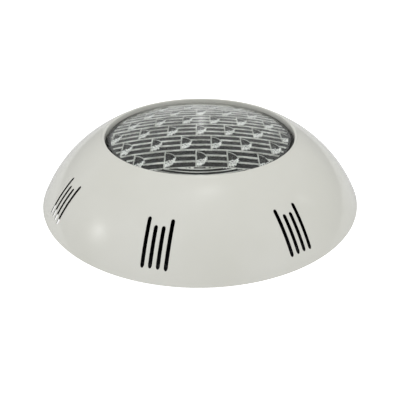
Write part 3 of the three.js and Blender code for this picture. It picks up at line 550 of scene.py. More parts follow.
def plastic(name, colour, drift, rough=(0.2, 0.3), grain=900.0, bump=0.02, drift_scale=14.0, **shader):
    """A material of one moulded finish. Extra values go to the shader's own sockets."""
    material = bpy.data.materials.new(name)
    material.use_nodes = True
    tree = material.node_tree
    principled = tree.nodes["Principled BSDF"]
    group = add(tree, "ShaderNodeGroup", node_tree=MOULDED)
    values = {
        "Colour": (*colour, 1),
        "Drift Colour": (*drift, 1),
        "Drift Scale": drift_scale,
        "Grain Scale": grain,
        "Roughness Low": rough[0],
        "Roughness High": rough[1],
    }
    for key, value in values.items():
        group.inputs[key].default_value = value
    height = add(tree, "ShaderNodeBump", Strength=bump, Distance=0.0004)
    tree.links.new(group.outputs["Colour"], principled.inputs["Base Color"])
    tree.links.new(group.outputs["Roughness"], principled.inputs["Roughness"])
    tree.links.new(group.outputs["Height"], height.inputs["Height"])
    tree.links.new(height.outputs["Normal"], principled.inputs["Normal"])
    for key, value in shader.items():
        principled.inputs[key.replace("_", " ")].default_value = value
    return material


GLOSS_WHITE = plastic(
    "gloss_white_shell",
    (0.63, 0.63, 0.585),
    (0.60, 0.60, 0.55),
    rough=(0.10, 0.17),
    bump=0.015,
    Coat_Weight=0.5,
    Coat_Roughness=0.04,
    IOR=1.5,
)
PLATE_DARK = plastic(
    "matt_dark_plate", (0.02, 0.021, 0.023), (0.035, 0.036, 0.038), rough=(0.4, 0.55), bump=0.1
)
BLACK_SATIN = plastic(
    "black_ring_satin", (0.012, 0.012, 0.012), (0.02, 0.02, 0.019), rough=(0.25, 0.4), bump=0.05
)
BLACK_MATT = plastic(
    "black_bowl_grain", (0.016, 0.016, 0.017), (0.028, 0.028, 0.028), rough=(0.45, 0.6), bump=0.12
)
RUBBER = plastic("black_rubber", (0.012, 0.012, 0.012), (0.02, 0.02, 0.02), rough=(0.7, 0.85), bump=0.15)
# Its slow drift towards grey is painted light, standing in for light refracted through the clear lens.
FLUTE_DARK = plastic(
    "flute_valley",
    (0.001, 0.0015, 0.001),
    (0.02, 0.02, 0.018),
    rough=(0.15, 0.3),
    drift_scale=60,
    Specular_IOR_Level=0.1,
)
# Painted highlight: the bright colour of the ridges stands in for light caught by the clear lens's flutes.
FLUTE_PAINTED_HIGHLIGHT = plastic("flute_painted_highlight", (0.34, 0.34, 0.31), (0.8, 0.8, 0.76), rough=(0.1, 0.2), drift_scale=90)
CUP_DARK = plastic(
    "cup_bowl",
    (0.004, 0.005, 0.004),
    (0.04, 0.04, 0.037),
    rough=(0.15, 0.3),
    drift_scale=160,
    Specular_IOR_Level=0.1,
)
# Painted highlight: the bright colour of the cups' lower facets stands in for glints of light in the clear
# lens.
CUP_PAINTED_GLINT = plastic("cup_painted_glint", (0.7, 0.7, 0.67), (0.95, 0.95, 0.93), rough=(0.1, 0.25), drift_scale=220)
BOARD_BLACK = plastic("solder_mask_black", (0.01, 0.012, 0.01), (0.018, 0.02, 0.018), rough=(0.3, 0.45))
BOARD_GREEN = plastic("solder_mask_green", (0.012, 0.1, 0.03), (0.02, 0.13, 0.045), rough=(0.3, 0.4))
SLEEVE_RED = plastic("lead_sleeve_red", (0.4, 0.01, 0.01), (0.3, 0.01, 0.01), rough=(0.4, 0.5))
SLEEVE_BLACK = plastic("lead_sleeve_black", (0.01, 0.01, 0.01), (0.02, 0.02, 0.02), rough=(0.4, 0.5))
COMPONENT = plastic(
    "component_black", (0.012, 0.012, 0.013), (0.025, 0.025, 0.025), rough=(0.4, 0.55), bump=0.1
)
CAN_BLUE = plastic("capacitor_sleeve", (0.015, 0.03, 0.09), (0.02, 0.04, 0.12), rough=(0.2, 0.3))
STEEL = plastic("stainless_steel", (0.52, 0.53, 0.54), (0.6, 0.6, 0.61), rough=(0.22, 0.36), Metallic=1.0)
ALUMINIUM = plastic(
    "plain_aluminium", (0.56, 0.57, 0.58), (0.64, 0.64, 0.65), rough=(0.3, 0.45), Metallic=1.0
)
BRASS = plastic("turned_brass", (0.62, 0.43, 0.14), (0.5, 0.34, 0.1), rough=(0.2, 0.34), Metallic=1.0)
COPPER = plastic("enamelled_winding", (0.5, 0.16, 0.05), (0.42, 0.12, 0.04), rough=(0.2, 0.3), Metallic=1.0)


def clear_dome():
    """A polished clear lens with faint water marks in its gloss. Its low IOR keeps the optic dark."""
    material = bpy.data.materials.new("clear_dome")
    material.use_nodes = True
    tree = material.node_tree
    principled = tree.nodes["Principled BSDF"]
    principled.inputs["Base Color"].default_value = (0.96, 0.98, 0.97, 1)
    principled.inputs["Transmission Weight"].default_value = 1.0
    principled.inputs["IOR"].default_value = 1.2
    place = add(tree, "ShaderNodeTexCoord")
    smear = add(tree, "ShaderNodeTexNoise", Scale=30.0, Detail=6.0)
    rough = add(tree, "ShaderNodeMapRange")
    rough.inputs["To Min"].default_value = 0.0
    rough.inputs["To Max"].default_value = 0.04
    tree.links.new(place.outputs["Object"], smear.inputs["Vector"])
    tree.links.new(smear.outputs["Fac"], rough.inputs["Value"])
    tree.links.new(rough.outputs["Result"], principled.inputs["Roughness"])
    return material


CLEAR = clear_dome()


# ---------- lens, gasket and ring ----------
def dome_points(sphere, start, end, steps):
    return [(r, DOME_CENTRE_Z + math.sqrt(sphere**2 - r**2)) for r in steps_between(start, end, steps)]


def front_lens():
    """A thin dome over a flange, eased where the dome leaves the flange."""
    flange_top = LENS_FOOT_Z + LENS_FLANGE
    inner = DOME_FOOT_RADIUS - LENS_WALL
    flange = rounded(
        [
            (inner, LENS_FOOT_Z),
            (LENS_RADIUS, LENS_FOOT_Z),
            (LENS_RADIUS, flange_top),
            (DOME_FOOT_RADIUS, flange_top),
        ],
        [None, LENS_FLANGE_ROUND, LENS_FLANGE_ROUND, None],
    )
    shoulder = [
        (DOME_FOOT_RADIUS, DOME_FOOT_Z - 0.9 * MM),
        (DOME_FOOT_RADIUS - 0.35 * MM, DOME_FOOT_Z - 0.1 * MM),
    ]
    outside = dome_points(DOME_SPHERE, DOME_FOOT_RADIUS - 1.2 * MM, 0, DOME_STEPS)
    inside = dome_points(DOME_SPHERE - LENS_WALL, 0, inner, DOME_STEPS)
    vertices, faces = lathe(flange + shoulder + outside + inside, ROUND_STEPS)
    return mesh_object("front_lens_dome", vertices, faces, 50)


def turned_piece(name, section, radii, steps=ROUND_STEPS, angle=35):
    """A (radius, z) section with rounded corners, turned about the axis."""
    vertices, faces = lathe(rounded(section, radii), steps)
    return mesh_object(name, vertices, faces, angle)


def washer(name, node, bore, round_by=0.25 * MM):
    """A flat ring about the axis that fills a node's box."""
    low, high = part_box(node)
    section = [(bore, low.z), (high.x, low.z), (high.x, high.z), (bore, high.z)]
    return turned_piece(name, section, [round_by] * 4)


def clamp_ring():
    """The ring's flange for the screws, its wall round the lens and the lip over the lens."""
    wall = RING_BORE + RING_WALL
    inner = DOME_FOOT_RADIUS + 0.3 * MM
    lip_foot = RING_LIP_TOP - RING_LIP
    flange_top = RING_FOOT_Z + RING_FLANGE
    section = [
        (RING_BORE, RING_FOOT_Z),
        (RING_OUTER, RING_FOOT_Z),
        (RING_OUTER, flange_top),
        (wall, flange_top),
        (wall, RING_LIP_TOP),
        (inner, RING_LIP_TOP),
        (inner, lip_foot),
        (RING_BORE, lip_foot),
    ]
    radii = [0.2, 0.5, 0.6, 0.8, 0.7, 0.7, 0.3, 0.2]
    return turned_piece("clamp_ring_turned", section, [r * MM for r in radii])


def block(name, low, high, round_by, angle=0.0, segments=3):
    """A box with rounded edges, turned about the lamp's axis."""
    corners = [(x, y, z) for x in (low[0], high[0]) for y in (low[1], high[1]) for z in (low[2], high[2])]
    faces = [(0, 1, 3, 2), (4, 6, 7, 5), (0, 4, 5, 1), (2, 3, 7, 6), (0, 2, 6, 4), (1, 5, 7, 3)]
    mesh = bpy.data.meshes.new(name)
    mesh.from_pydata(corners, [], faces)
    bm = bmesh.new()
    bm.from_mesh(mesh)
    bmesh.ops.recalc_face_normals(bm, faces=bm.faces)
    bmesh.ops.bevel(bm, geom=bm.edges[:], offset=round_by, segments=segments, affect="EDGES", profile=0.5)
    bmesh.ops.transform(bm, matrix=Matrix.Rotation(angle, 4, "Z"), verts=bm.verts)
    bm.to_mesh(mesh)
    bm.free()
    shade(mesh, 40)
    return placed(name, mesh)


def post(name, radius, low, high, at, steps=32, round_by=0.3 * MM):
    """An upright round post with eased ends."""
    section = [(0, low), (radius, low), (radius, high), (0, high)]
    piece = turned_piece(name, section, [None, round_by, round_by, None], steps)
    piece.data.transform(Matrix.Translation((at[0], at[1], 0)))
    return piece


def lamp_bowl():
    """The bowl, its outside ribs, feet, screw bosses and the block for the gland."""
    flange_foot = BOWL_TOP_Z - BOWL_FLANGE
    recess = BOWL_INNER + BOWL_RECESS_WIDTH
    ledge = BOWL_TOP_Z - BOWL_RECESS
    floor = BOWL_FOOT_Z + BOWL_FLOOR
    section = [
        (0, BOWL_FOOT_Z),
        (BOWL_OUTER, BOWL_FOOT_Z),
        (BOWL_OUTER, flange_foot),
        (RING_OUTER, flange_foot),
        (RING_OUTER, BOWL_TOP_Z),
        (recess, BOWL_TOP_Z),
        (recess, ledge),
        (BOWL_INNER, ledge),
        (BOWL_INNER, floor),
        (0, floor),
    ]
    radii = [None, 1.5, 1.0, 0.6, 0.5, 0.2, 0.2, 0.3, 1.5, None]
    pieces = [turned_piece("bowl_shell", section, [r and r * MM for r in radii])]
    foot_low = (BOWL_INNER, -LAMP_FOOT_HALF, BOWL_FOOT_Z)
    foot_high = (FOOT_DISTANCE + LAMP_FOOT_HALF, LAMP_FOOT_HALF, floor)
    for k, angle in enumerate(around(LAMP_FEET), 1):
        pieces.append(block(f"bowl_foot_{k}", foot_low, foot_high, 0.8 * MM, angle))
    rib_low = (BOWL_OUTER - 1 * MM, -0.9 * MM, BOWL_FOOT_Z + 1.5 * MM)
    rib_high = (BOWL_OUTER + 1.8 * MM, 0.9 * MM, flange_foot + JOIN)
    for k, angle in enumerate(around(BOWL_RIBS, TURN / BOWL_RIBS / 2), 1):
        behind_gland = abs(math.sin(angle) - 0.8) < 0.2 and math.cos(angle) < 0
        if not behind_gland:
            pieces.append(block(f"bowl_rib_{k}", rib_low, rib_high, 0.4 * MM, angle, 2))
    for k, angle in enumerate(around(CLAMP_SCREWS), 1):
        centre = polar(CLAMP_DISTANCE, angle)
        pieces.append(post(f"bowl_boss_{k}", 3.4 * MM, flange_foot - 6 * MM, flange_foot + 1 * MM, centre))
    block_half = 11.5 * MM
    block_low = (GLAND_FACE_X, WASHER_Y - block_half, BOWL_FOOT_Z)
    block_high = (-20 * MM, WASHER_Y + block_half, flange_foot + 1 * MM)
    pieces.append(block("gland_block", block_low, block_high, 0.9 * MM))
    return pieces


def plate_pan():
    """The plate's rimmed disc, pierced for the cable and the wall screws."""
    inside = PLATE_RADIUS - PLATE_RIM_WALL
    section = [
        (0, 0),
        (PLATE_RADIUS, 0),
        (PLATE_RADIUS, PLATE_RIM),
        (inside, PLATE_RIM),
        (inside, PLATE_THICKNESS),
        (0, PLATE_THICKNESS),
    ]
    radii = [None, 0.6, 0.8, 0.8, 1.2, None]
    pan = turned_piece("plate_pan", section, [r and r * MM for r in radii])
    hole_at = polar(CABLE_HOLE_DISTANCE, CABLE_HOLE_ANGLE)
    cutters = [post("cutter", CABLE_HOLE_RADIUS, CUT_LOW, CUT_HIGH, hole_at, 64)]
    slot_end = WALL_SLOT_START + WALL_SLOT_LENGTH
    for angle in around(4):
        cutters.append(slot_cutter(WALL_SLOT_START, slot_end, WALL_SLOT_HALF, angle))
    carve(pan, cutters)
    return pan


def wall_plate():
    """The pan, its ribs, the cleats for spare cable and the bosses of the lamp's feet."""
    pieces = [plate_pan()]
    on_floor = PLATE_THICKNESS - JOIN
    rib_low = (24 * MM, -1.2 * MM, on_floor)
    rib_high = (PLATE_RADIUS - PLATE_RIM_WALL + JOIN, 1.2 * MM, PLATE_THICKNESS + 3 * MM)
    for k, angle in enumerate(around(PLATE_RIBS, TURN / PLATE_RIBS / 2), 1):
        pieces.append(block(f"plate_rib_{k}", rib_low, rib_high, 0.5 * MM, angle, 2))
    post_low = (CLEAT_DISTANCE - CLEAT_WALL, -CLEAT_HALF, on_floor)
    post_high = (CLEAT_DISTANCE, CLEAT_HALF, CLEAT_TOP)
    arm_low = (CLEAT_DISTANCE - CLEAT_WALL, -CLEAT_HALF, CLEAT_TOP - CLEAT_WALL)
    arm_high = (CLEAT_DISTANCE + CLEAT_REACH, CLEAT_HALF, CLEAT_TOP)
    for k, degrees in enumerate(CLEAT_ANGLES, 1):
        angle = math.radians(degrees)
        pieces.append(block(f"cleat_post_{k}", post_low, post_high, 0.7 * MM, angle))
        pieces.append(block(f"cleat_arm_{k}", arm_low, arm_high, 0.7 * MM, angle))
    boss_top = BOWL_FOOT_Z - 0.3 * MM
    for k, angle in enumerate(around(LAMP_FEET), 1):
        centre = polar(FOOT_DISTANCE, angle)
        pieces.append(post(f"plate_boss_{k}", 5.5 * MM, on_floor, boss_top, centre, 48))
    return pieces


def slot_cutter(inner, outer, half, angle, arc_steps=12):
    """A round-ended prism along a direction, for cutting a slot."""
    outline = []
    for centre, start in ((outer - half, -math.pi / 2), (inner + half, math.pi / 2)):
        for i in range(arc_steps + 1):
            x, y = polar(half, start + math.pi * i / arc_steps)
            outline.append((centre + x, y))
    return prism("cutter", outline, CUT_LOW, CUT_HIGH, Matrix.Rotation(angle, 4, "Z"))


def prism(name, outline, low, high, matrix=None):
    """A straight prism over an outline in plan."""
    n = len(outline)
    vertices = [(x, y, low) for x, y in outline] + [(x, y, high) for x, y in outline]
    faces = [tuple(range(n)), tuple(range(2 * n - 1, n - 1, -1))]
    faces += [(i, (i + 1) % n, n + (i + 1) % n, n + i) for i in range(n)]
    piece = mesh_object(name, vertices, faces, 35)
    if matrix:
        piece.data.transform(matrix)
    return piece


def carve(piece, cutters, operation="DIFFERENCE"):
    """Cut solids out of a piece, or keep what is inside them, and drop the solids."""
    for cutter in cutters:
        modifier = piece.modifiers.new("cut", "BOOLEAN")
        modifier.operation = operation
        modifier.solver = "EXACT"
        modifier.object = cutter
    bpy.context.view_layer.update()
    graph = bpy.context.evaluated_depsgraph_get()
    mesh = bpy.data.meshes.new_from_object(piece.evaluated_get(graph))
    piece.modifiers.clear()
    piece.data = mesh
    for cutter in cutters:
        bpy.data.objects.remove(cutter)
    shade(mesh, 35)


# ---------- screws ----------
SCREW_PITCH = 0.8 * MM
SCREW_THREAD_DEPTH = 0.28 * MM
SCREW_STEPS = 24
HEAD_STEPS = 6
HEAD_SIDE = 0.45  # share of the head's height that is upright
SMALL_HEAD = (1.5 * MM, 2.8 * MM, 1.7 * MM)  # shank radius, head radius, head height
LARGE_HEAD = (2.0 * MM, 3.7 * MM, 2.4 * MM)
SCREW_KINDS = {
    "clip_screw": (4, SMALL_HEAD),
    "clamp_screw": (6, SMALL_HEAD),
    "lamp_screw": (4, LARGE_HEAD),
    "board_screw": (4, SMALL_HEAD),
    "driver_screw": (4, SMALL_HEAD),
}


def thread_rings(radius, low, high, pitch, depth, steps):
    """Rings of points of a screw thread between two heights."""
    count = max(int((high - low) / pitch * 6), 6)
    rings = []
    for k in range(count + 1):
        z = low + (high - low) * k / count
        ring = []
        for i in range(steps):
            phase = (z / pitch + i / steps) % 1
            ring.append((*polar(radius - depth * abs(2 * phase - 1), TURN * i / steps), z))
        rings.append(ring)
    return rings


def loft(rings):
    """Vertices and faces over rings of points. A ring of one point is a tip."""
    vertices, faces, numbers = [], [], []
    for ring in rings:
        numbers.append(list(range(len(vertices), len(vertices) + len(ring))))
        vertices += ring
    for low, high in zip(numbers, numbers[1:]):
        faces += bridge(low, high)
    return vertices, faces


def cross_cutters(head_radius, head):
    """The two crossed bars that cut a screw's recess."""
    arm, half = head_radius * 0.6, head_radius * 0.13
    cutters = []
    for x, y in ((arm, half), (half, arm)):
        outline = [(-x, -y), (x, -y), (x, y), (-x, y)]
        cutters.append(prism("cutter", outline, head * 0.35, head * 2))
    return cutters


def screw_mesh(name, radius, head_radius, head, length):
    """A pan-head screw with a cross recess and a cut thread, its head resting on z = 0."""
    thread_foot = -length + radius * 0.6
    rings = [[(0, 0, -length)], circle(radius * 0.45, -length, SCREW_STEPS)]
    rings += thread_rings(radius, thread_foot, -0.4 * MM, SCREW_PITCH, SCREW_THREAD_DEPTH, SCREW_STEPS)
    rings.append(circle(radius, 0, SCREW_STEPS))
    rings.append(circle(head_radius, 0, SCREW_STEPS))
    rings.append(circle(head_radius, head * HEAD_SIDE, SCREW_STEPS))
    for i in range(1, HEAD_STEPS):
        r, rise = polar(1, math.pi / 2 * i / HEAD_STEPS)
        rings.append(circle(head_radius * r, head * (HEAD_SIDE + (1 - HEAD_SIDE) * rise), SCREW_STEPS))
    rings.append([(0, 0, head)])
    vertices, faces = loft(rings)
    piece = mesh_object(name, vertices, faces, 40)
    carve(piece, cross_cutters(head_radius, head))
    mesh = piece.data
    bpy.data.objects.remove(piece)
    return mesh


def all_screws():
    """Every screw at its node's place, one mesh for each kind, each turned a little further."""
    for kind, (count, sizes) in SCREW_KINDS.items():
        head = sizes[2]
        low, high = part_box(f"{kind}_1")
        mesh = screw_mesh(kind + "_turned", *sizes, high.z - low.z - head)
        for k in range(count):
            low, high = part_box(f"{kind}_{k + 1}")
            piece = placed(f"{kind}_turned_{k + 1}", mesh)
            x, y = (low.x + high.x) / 2, (low.y + high.y) / 2
            spin = Matrix.Rotation(math.atan2(y, x) + 0.7 * k, 4, "Z")
            piece.matrix_world = Matrix.Translation((x, y, high.z - head)) @ spin
            finish_piece(piece, ROOT, STEEL, [f"{kind}_{k + 1}"])


# ---------- spring clips and blades ----------
CLIP_SHEET = 0.8 * MM
CLIP_BEND = 1.2 * MM
CLIP_GAP = 0.3 * MM  # between a leaf and the blade, and under the foot
CLIP_HALF = 4.5 * MM
CLIP_LEAF = 11 * MM
CLIP_FOOT = 9 * MM


def cover_clip(k, angle):
    """A folded spring clip: a foot and two upright leaves."""
    foot_z = PLATE_THICKNESS + CLIP_GAP
    inner = BLADE_DISTANCE - BLADE_HALF[0] - CLIP_GAP - CLIP_SHEET
    outer = BLADE_DISTANCE + BLADE_HALF[0] + CLIP_GAP + CLIP_SHEET
    start = inner - CLIP_FOOT
    top = foot_z + CLIP_LEAF
    sheet_top = foot_z + CLIP_SHEET
    outline = [
        (start, foot_z),
        (outer, foot_z),
        (outer, top),
        (outer - CLIP_SHEET, top),
        (outer - CLIP_SHEET, sheet_top),
        (inner + CLIP_SHEET, sheet_top),
        (inner + CLIP_SHEET, top),
        (inner, top),
        (inner, sheet_top),
        (start, sheet_top),
    ]
    edge, crease = 0.3 * MM, 0.4 * MM
    radii = [0.2 * MM, CLIP_BEND, edge, edge, crease, crease, edge, edge, crease, 0.2 * MM]
    upright = Matrix(((1, 0, 0, 0), (0, 0, 1, 0), (0, 1, 0, 0), (0, 0, 0, 1)))
    turn = Matrix.Rotation(angle, 4, "Z") @ upright
    piece = prism(f"cover_clip_bent_{k}", rounded(outline, radii), -CLIP_HALF, CLIP_HALF, turn)
    finish_piece(piece, ROOT, STEEL, [f"cover_clip_{k}"])


def cover_blade(k, angle):
    """A blade under the cover, its head following the inside of the dome."""
    outer = BLADE_DISTANCE + BLADE_HALF[0]
    low = (BLADE_DISTANCE - BLADE_HALF[0], -BLADE_HALF[1], BLADE_FOOT)
    high = (outer, BLADE_HALF[1], cover_z(outer, COVER_WALL) + JOIN)
    blade = block(f"cover_blade_{k}", low, high, 0.5 * MM, angle)
    finish_piece(blade, "front_cover", GLOSS_WHITE, ["front_cover"])


# ---------- gland pieces, drawn upright on the gland's axis ----------
def hex_solid(name, low, high, ease):
    """A hexagonal bar whose corners are turned down at both ends."""
    corner = HEX_HALF / math.cos(math.pi / 6)
    outline = [polar(corner, a) for a in around(6, math.pi / 6)]
    outline = rounded(outline, [0.4 * MM] * 6, 3)
    bar = prism(name, outline, low, high)
    flat, clear, skim = HEX_HALF + 0.2 * MM, corner + 1 * MM, 0.001 * MM
    section = [
        (0, low - 1 * MM),
        (flat, low - skim),
        (clear, low + ease[0]),
        (clear, high - ease[1]),
        (flat - ease[1] * 0.8, high + skim),
        (0, high + 1 * MM),
    ]
    vertices, faces = lathe(section, 96)
    carve(bar, [mesh_object("cutter", vertices, faces)], "INTERSECT")
    return bar


def threaded_tube(name, low, high, bore, steps=48):
    """A tube with an outside thread."""
    root = THREAD - THREAD_DEPTH
    rings = [circle(bore, low, steps), circle(root, low, steps)]
    rings += thread_rings(THREAD, low + 0.5 * MM, high - 0.5 * MM, THREAD_PITCH, THREAD_DEPTH, steps)
    rings += [circle(root, high, steps), circle(bore, high, steps)]
    vertices, faces = loft(rings + [rings[0]])
    return mesh_object(name, vertices, faces, 40)


def along_gland(node):
    """Where a node starts and ends, counted outward from the face of the gland's block."""
    low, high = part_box(node)
    return GLAND_FACE_X - high.x, GLAND_FACE_X - low.x


def gland_body():
    """The fixed hexagon, the shank in the bowl's wall and the thread for the nut."""
    start, tip = along_gland("gland_body")
    hex_foot = along_gland("gland_washer")[1] + GLAND_GAP
    hex_top = hex_foot + HEX_HEIGHT
    hexagon = hex_solid("gland_hexagon", hex_foot, hex_top, (HEX_EASE, HEX_EASE))
    carve(hexagon, [post("cutter", GLAND_BORE, hex_foot - 2 * MM, hex_top + 2 * MM, (0, 0), 48, 0.01 * MM)])
    outer = threaded_tube("gland_thread", hex_top - JOIN, tip, 6 * MM)
    shank = threaded_tube("gland_shank", start, hex_foot + JOIN, GLAND_BORE)
    for piece in (hexagon, outer, shank):
        piece.data.transform(GLAND_AXIS)
        finish_piece(piece, ROOT, BRASS, ["gland_body"])


def gland_nut():
    """The hexagonal nut, hollowed for the thread, the seal and the cable."""
    foot, top = along_gland("gland_nut")
    mouth = along_gland("gland_body")[1] + GLAND_GAP
    nut = hex_solid("gland_nut_turned", foot, top, (HEX_EASE, NUT_EASE))
    thread, seal, crown = THREAD + GLAND_GAP, 7 * MM, top - NUT_CROWN
    cavity = [
        (0, foot - 1 * MM),
        (thread, foot - 1 * MM),
        (thread, mouth),
        (seal, mouth),
        (seal, crown),
        (GLAND_BORE, crown),
        (GLAND_BORE, top + 1 * MM),
        (0, top + 1 * MM),
    ]
    vertices, faces = lathe(cavity, 64)
    carve(nut, [mesh_object("cutter", vertices, faces)])
    nut.data.transform(GLAND_AXIS)
    finish_piece(nut, "gland_nut", BRASS, ["gland_nut"])


def gland_ring(node, bore, body, material):
    """A flat ring on the gland's axis that fills a node's box."""
    low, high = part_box(node)
    start, end = along_gland(node)
    radius = (high.y - low.y) / 2
    section = [(bore, start), (radius, start), (radius, end), (bore, end)]
    ring = turned_piece(node + "_turned", section, [0.25 * MM] * 4, 64)
    ring.data.transform(GLAND_AXIS)
    finish_piece(ring, body, material, [node])


def gland():
    gland_body()
    gland_nut()
    gland_ring("gland_washer", THREAD + GLAND_GAP, ROOT, RUBBER)
    gland_ring("gland_seal", SEAL_BORE, ROOT, RUBBER)
    gland_ring("gland_thrust_washer", GLAND_BORE, "thrust_washer", STEEL)


# ---------- fluted optic ----------
CREST = 0.9 * MM  # height of a ridge over the valleys
VALLEY = 0.3 * MM  # depth of a flute's hollow
FLUTES = 3  # in a row of cells
CREST_SHARE = 0.3  # a ridge takes the painted highlight above this share of its height
FLUTE_LINE = 1.6 * MM  # half widths of the ridges
ROW_LINE = 1.4 * MM
SIDE_LINE = 0.9 * MM
STREAK_LINE = 0.9 * MM
CUP_LEFT = -4.6 * MM
CUP_WIDTH = 9.0 * MM
CUP_HALF = 9.8 * MM
CUP_DEPTH = 1.3 * MM
CUP_RIM = 0.13  # share of the cup that its bright rim takes
GRIT_SCALE = 900
EDGE_BAND = OPTIC_RADIUS - 1.6 * MM  # the plain rings round the pattern start here
EDGE_STREAKS = (2.2 * MM, 5.4 * MM, 9.0 * MM)  # inside the edge band
OPTIC_EDGE = 0.3 * MM
OPTIC_FLANGE = 3 * MM  # how far the flange reaches over the bowl's wall
OPTIC_FLANGE_HIGH = 1.5 * MM
# The two bright finishes are painted highlights, standing in for light caught by the clear lens's ridges,
# rims and facets.
FINISHES = {"valley": FLUTE_DARK, "painted_highlight": FLUTE_PAINTED_HIGHLIGHT, "cup": CUP_DARK, "painted_glint": CUP_PAINTED_GLINT}


def cell_rows():
    """Each row's middle line and the middle of its first cell, from the bottom up."""
    rows = []
    for row, count in enumerate(CELL_ROWS):
        y = CELL_SHIFT[1] + (row - (len(CELL_ROWS) - 1) / 2) * CELL_Y
        rows.append((y, CELL_SHIFT[0] - (count - 1) / 2 * CELL_X))
    return rows


ROWS = cell_rows()


def ridge(distance, half):
    """1 on a ridge's middle line, falling to 0 at its foot."""
    t = min(abs(distance) / half, 1.0)
    return (1 - t * t) ** 2


def edge_rings(r):
    """The low ring outside the pattern."""
    return CREST * 0.6 * ridge(r - EDGE_BAND - 0.8 * MM, 0.7 * MM), "valley"


def edge_streaks(r):
    """The round streaks beyond the last row of cells, painted with a highlight along their tops."""
    wave = sum(ridge(r - EDGE_BAND + gap, STREAK_LINE) for gap in EDGE_STREAKS)
    return CREST * 0.8 * min(wave, 1), "painted_highlight" if wave > 0.45 else "valley"


def cup(u, v):
    """The half-round cup of a cell: a dark bowl above a raised broken facet painted bright as a highlight,
    with a painted highlight on its rim.
    """
    across = (u - CUP_LEFT) / CUP_WIDTH
    rim = 1 - (across**2 + (v / CUP_HALF) ** 2)
    facet_top = -1.0 * MM - 8 * MM * (0.55 - across) * 0.6
    if v < facet_top:
        grit = noise.noise(Vector((u * GRIT_SCALE, v * GRIT_SCALE, across)))
        lift = (0.5 + 0.4 * across + 0.5 * grit) * MM
        return lift, "painted_glint" if grit > -0.25 else "cup"
    return -CUP_DEPTH * smooth_step(0, 0.5, rim), "painted_highlight" if rim < CUP_RIM else "cup"


def relief(x, y):
    """Height of the optic's pattern over its dome, and which finish it has there: dark, or a painted
    highlight on the ridges and rims.
    """
    r = math.hypot(x, y)
    if r > EDGE_BAND:
        return edge_rings(r)
    middle, first = min(ROWS, key=lambda row: abs(row[0] - y))
    v = y - middle
    if abs(v) > CELL_Y * 0.52:
        return edge_streaks(r)
    u = (x - first + CELL_X / 2) % CELL_X - CELL_X / 2
    row_line = ridge(CELL_Y / 2 - abs(v), ROW_LINE)
    if row_line > CREST_SHARE:
        return CREST * row_line, "painted_highlight"
    side_line = ridge(u - CUP_LEFT, SIDE_LINE)
    if side_line > CREST_SHARE and abs(v) < CUP_HALF + 1 * MM:
        return CREST * side_line, "painted_highlight"
    if u > CUP_LEFT and ((u - CUP_LEFT) / CUP_WIDTH) ** 2 + (v / CUP_HALF) ** 2 < 1:
        return cup(u, v)
    pitch = CELL_Y / FLUTES
    w = (v + CELL_Y / 2) % pitch - pitch / 2
    flute = ridge(pitch / 2 - abs(w), FLUTE_LINE)
    hollow = VALLEY * (1 - (2 * w / pitch) ** 2)
    return CREST * flute - hollow, "painted_highlight" if flute > CREST_SHARE else "valley"


def optic_rings(rings, around_count):
    """Rings of points of the optic: its domed face from the middle out, then its flange and back."""
    top = OPTIC_RADIUS - OPTIC_EDGE
    out = [[(0, 0, DOME_CENTRE_Z + OPTIC_SPHERE + relief(0, 0)[0])]]
    for k in range(1, rings + 1):
        r = top * k / rings
        dome_z = DOME_CENTRE_Z + math.sqrt(OPTIC_SPHERE**2 - r * r)
        ring = []
        for i in range(around_count):
            x, y = polar(r, TURN * i / around_count)
            ring.append((x, y, dome_z + (relief(x, y)[0] if k < rings else 0)))
        out.append(ring)
    foot = optic_low.z
    flange_top = foot + OPTIC_FLANGE_HIGH
    flange = BOWL_INNER + OPTIC_FLANGE
    out.append(circle(OPTIC_RADIUS, flange_top, around_count))
    out.append(circle(flange, flange_top, around_count))
    out.append(circle(flange, foot, around_count))
    out.append([(0, 0, foot)])
    return out


def optic_plate():
    """The optic: a round plate with a flange whose domed face carries the relief."""
    rings = 230
    around_count = 960
    vertices, faces = loft(optic_rings(rings, around_count))
    names = list(FINISHES)
    face_count = rings * around_count  # of the domed face, which comes first
    # Each face of the dome takes its finish from the relief, either dark or a painted highlight.
    finish = [0] * len(faces)
    for k, face in enumerate(faces[:face_count]):
        x = sum(vertices[i][0] for i in face) / len(face)
        y = sum(vertices[i][1] for i in face) / len(face)
        finish[k] = names.index(relief(x, y)[1])
    mesh = bpy.data.meshes.new("optic_relief")
    mesh.from_pydata(vertices, [], faces)
    mesh.polygons.foreach_set("material_index", finish)
    mesh.polygons.foreach_set("use_smooth", [True] * len(faces))
    for material in FINISHES.values():
        mesh.materials.append(material)
    optic = placed("optic_relief", mesh)
    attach(optic, ROOT)
    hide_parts("optic_plate")


# ---------- camera, light and floor ----------
CAMERA_AT = (0.0, -360.9 * MM, 205.8 * MM)
CAMERA_DOWN = math.radians(31.98)
CAMERA_ROLL = math.radians(-0.383)
SENSOR = 36  # millimetres, as the camera counts them
FOCAL_WIDTHS = 1.073  # focal length over the sensor's width
WORLD_LIGHT = 1.18
WORLD_IN_GLOSS = 0.25
FLOOR_HALF = 8.0
FLOOR_DROP = 0.3 * MM
SOFT_CARDS = {  # place, target, size, strength
    "soft_top": ((0.1, -0.1, 1.4), (0, 0, 0), (1.6, 1.2), 1.8),
    "soft_left": ((-1.1, -0.3, 0.5), (0, 0, 0.02), (0.9, 1.0), 3.2),
    "soft_right": ((1.1, 0.1, 0.7), (0, 0, 0.02), (0.35, 0.9), 1.3),
    "soft_back": ((0.01, 1.2, 0.55), (0.01, 0, 0.55), (0.3, 1.9), 2.6),
    "soft_behind": ((0.0, 0.7, 0.003), (0.0, 0.7, 1.0), (0.2, 1.1), 1.6),
}


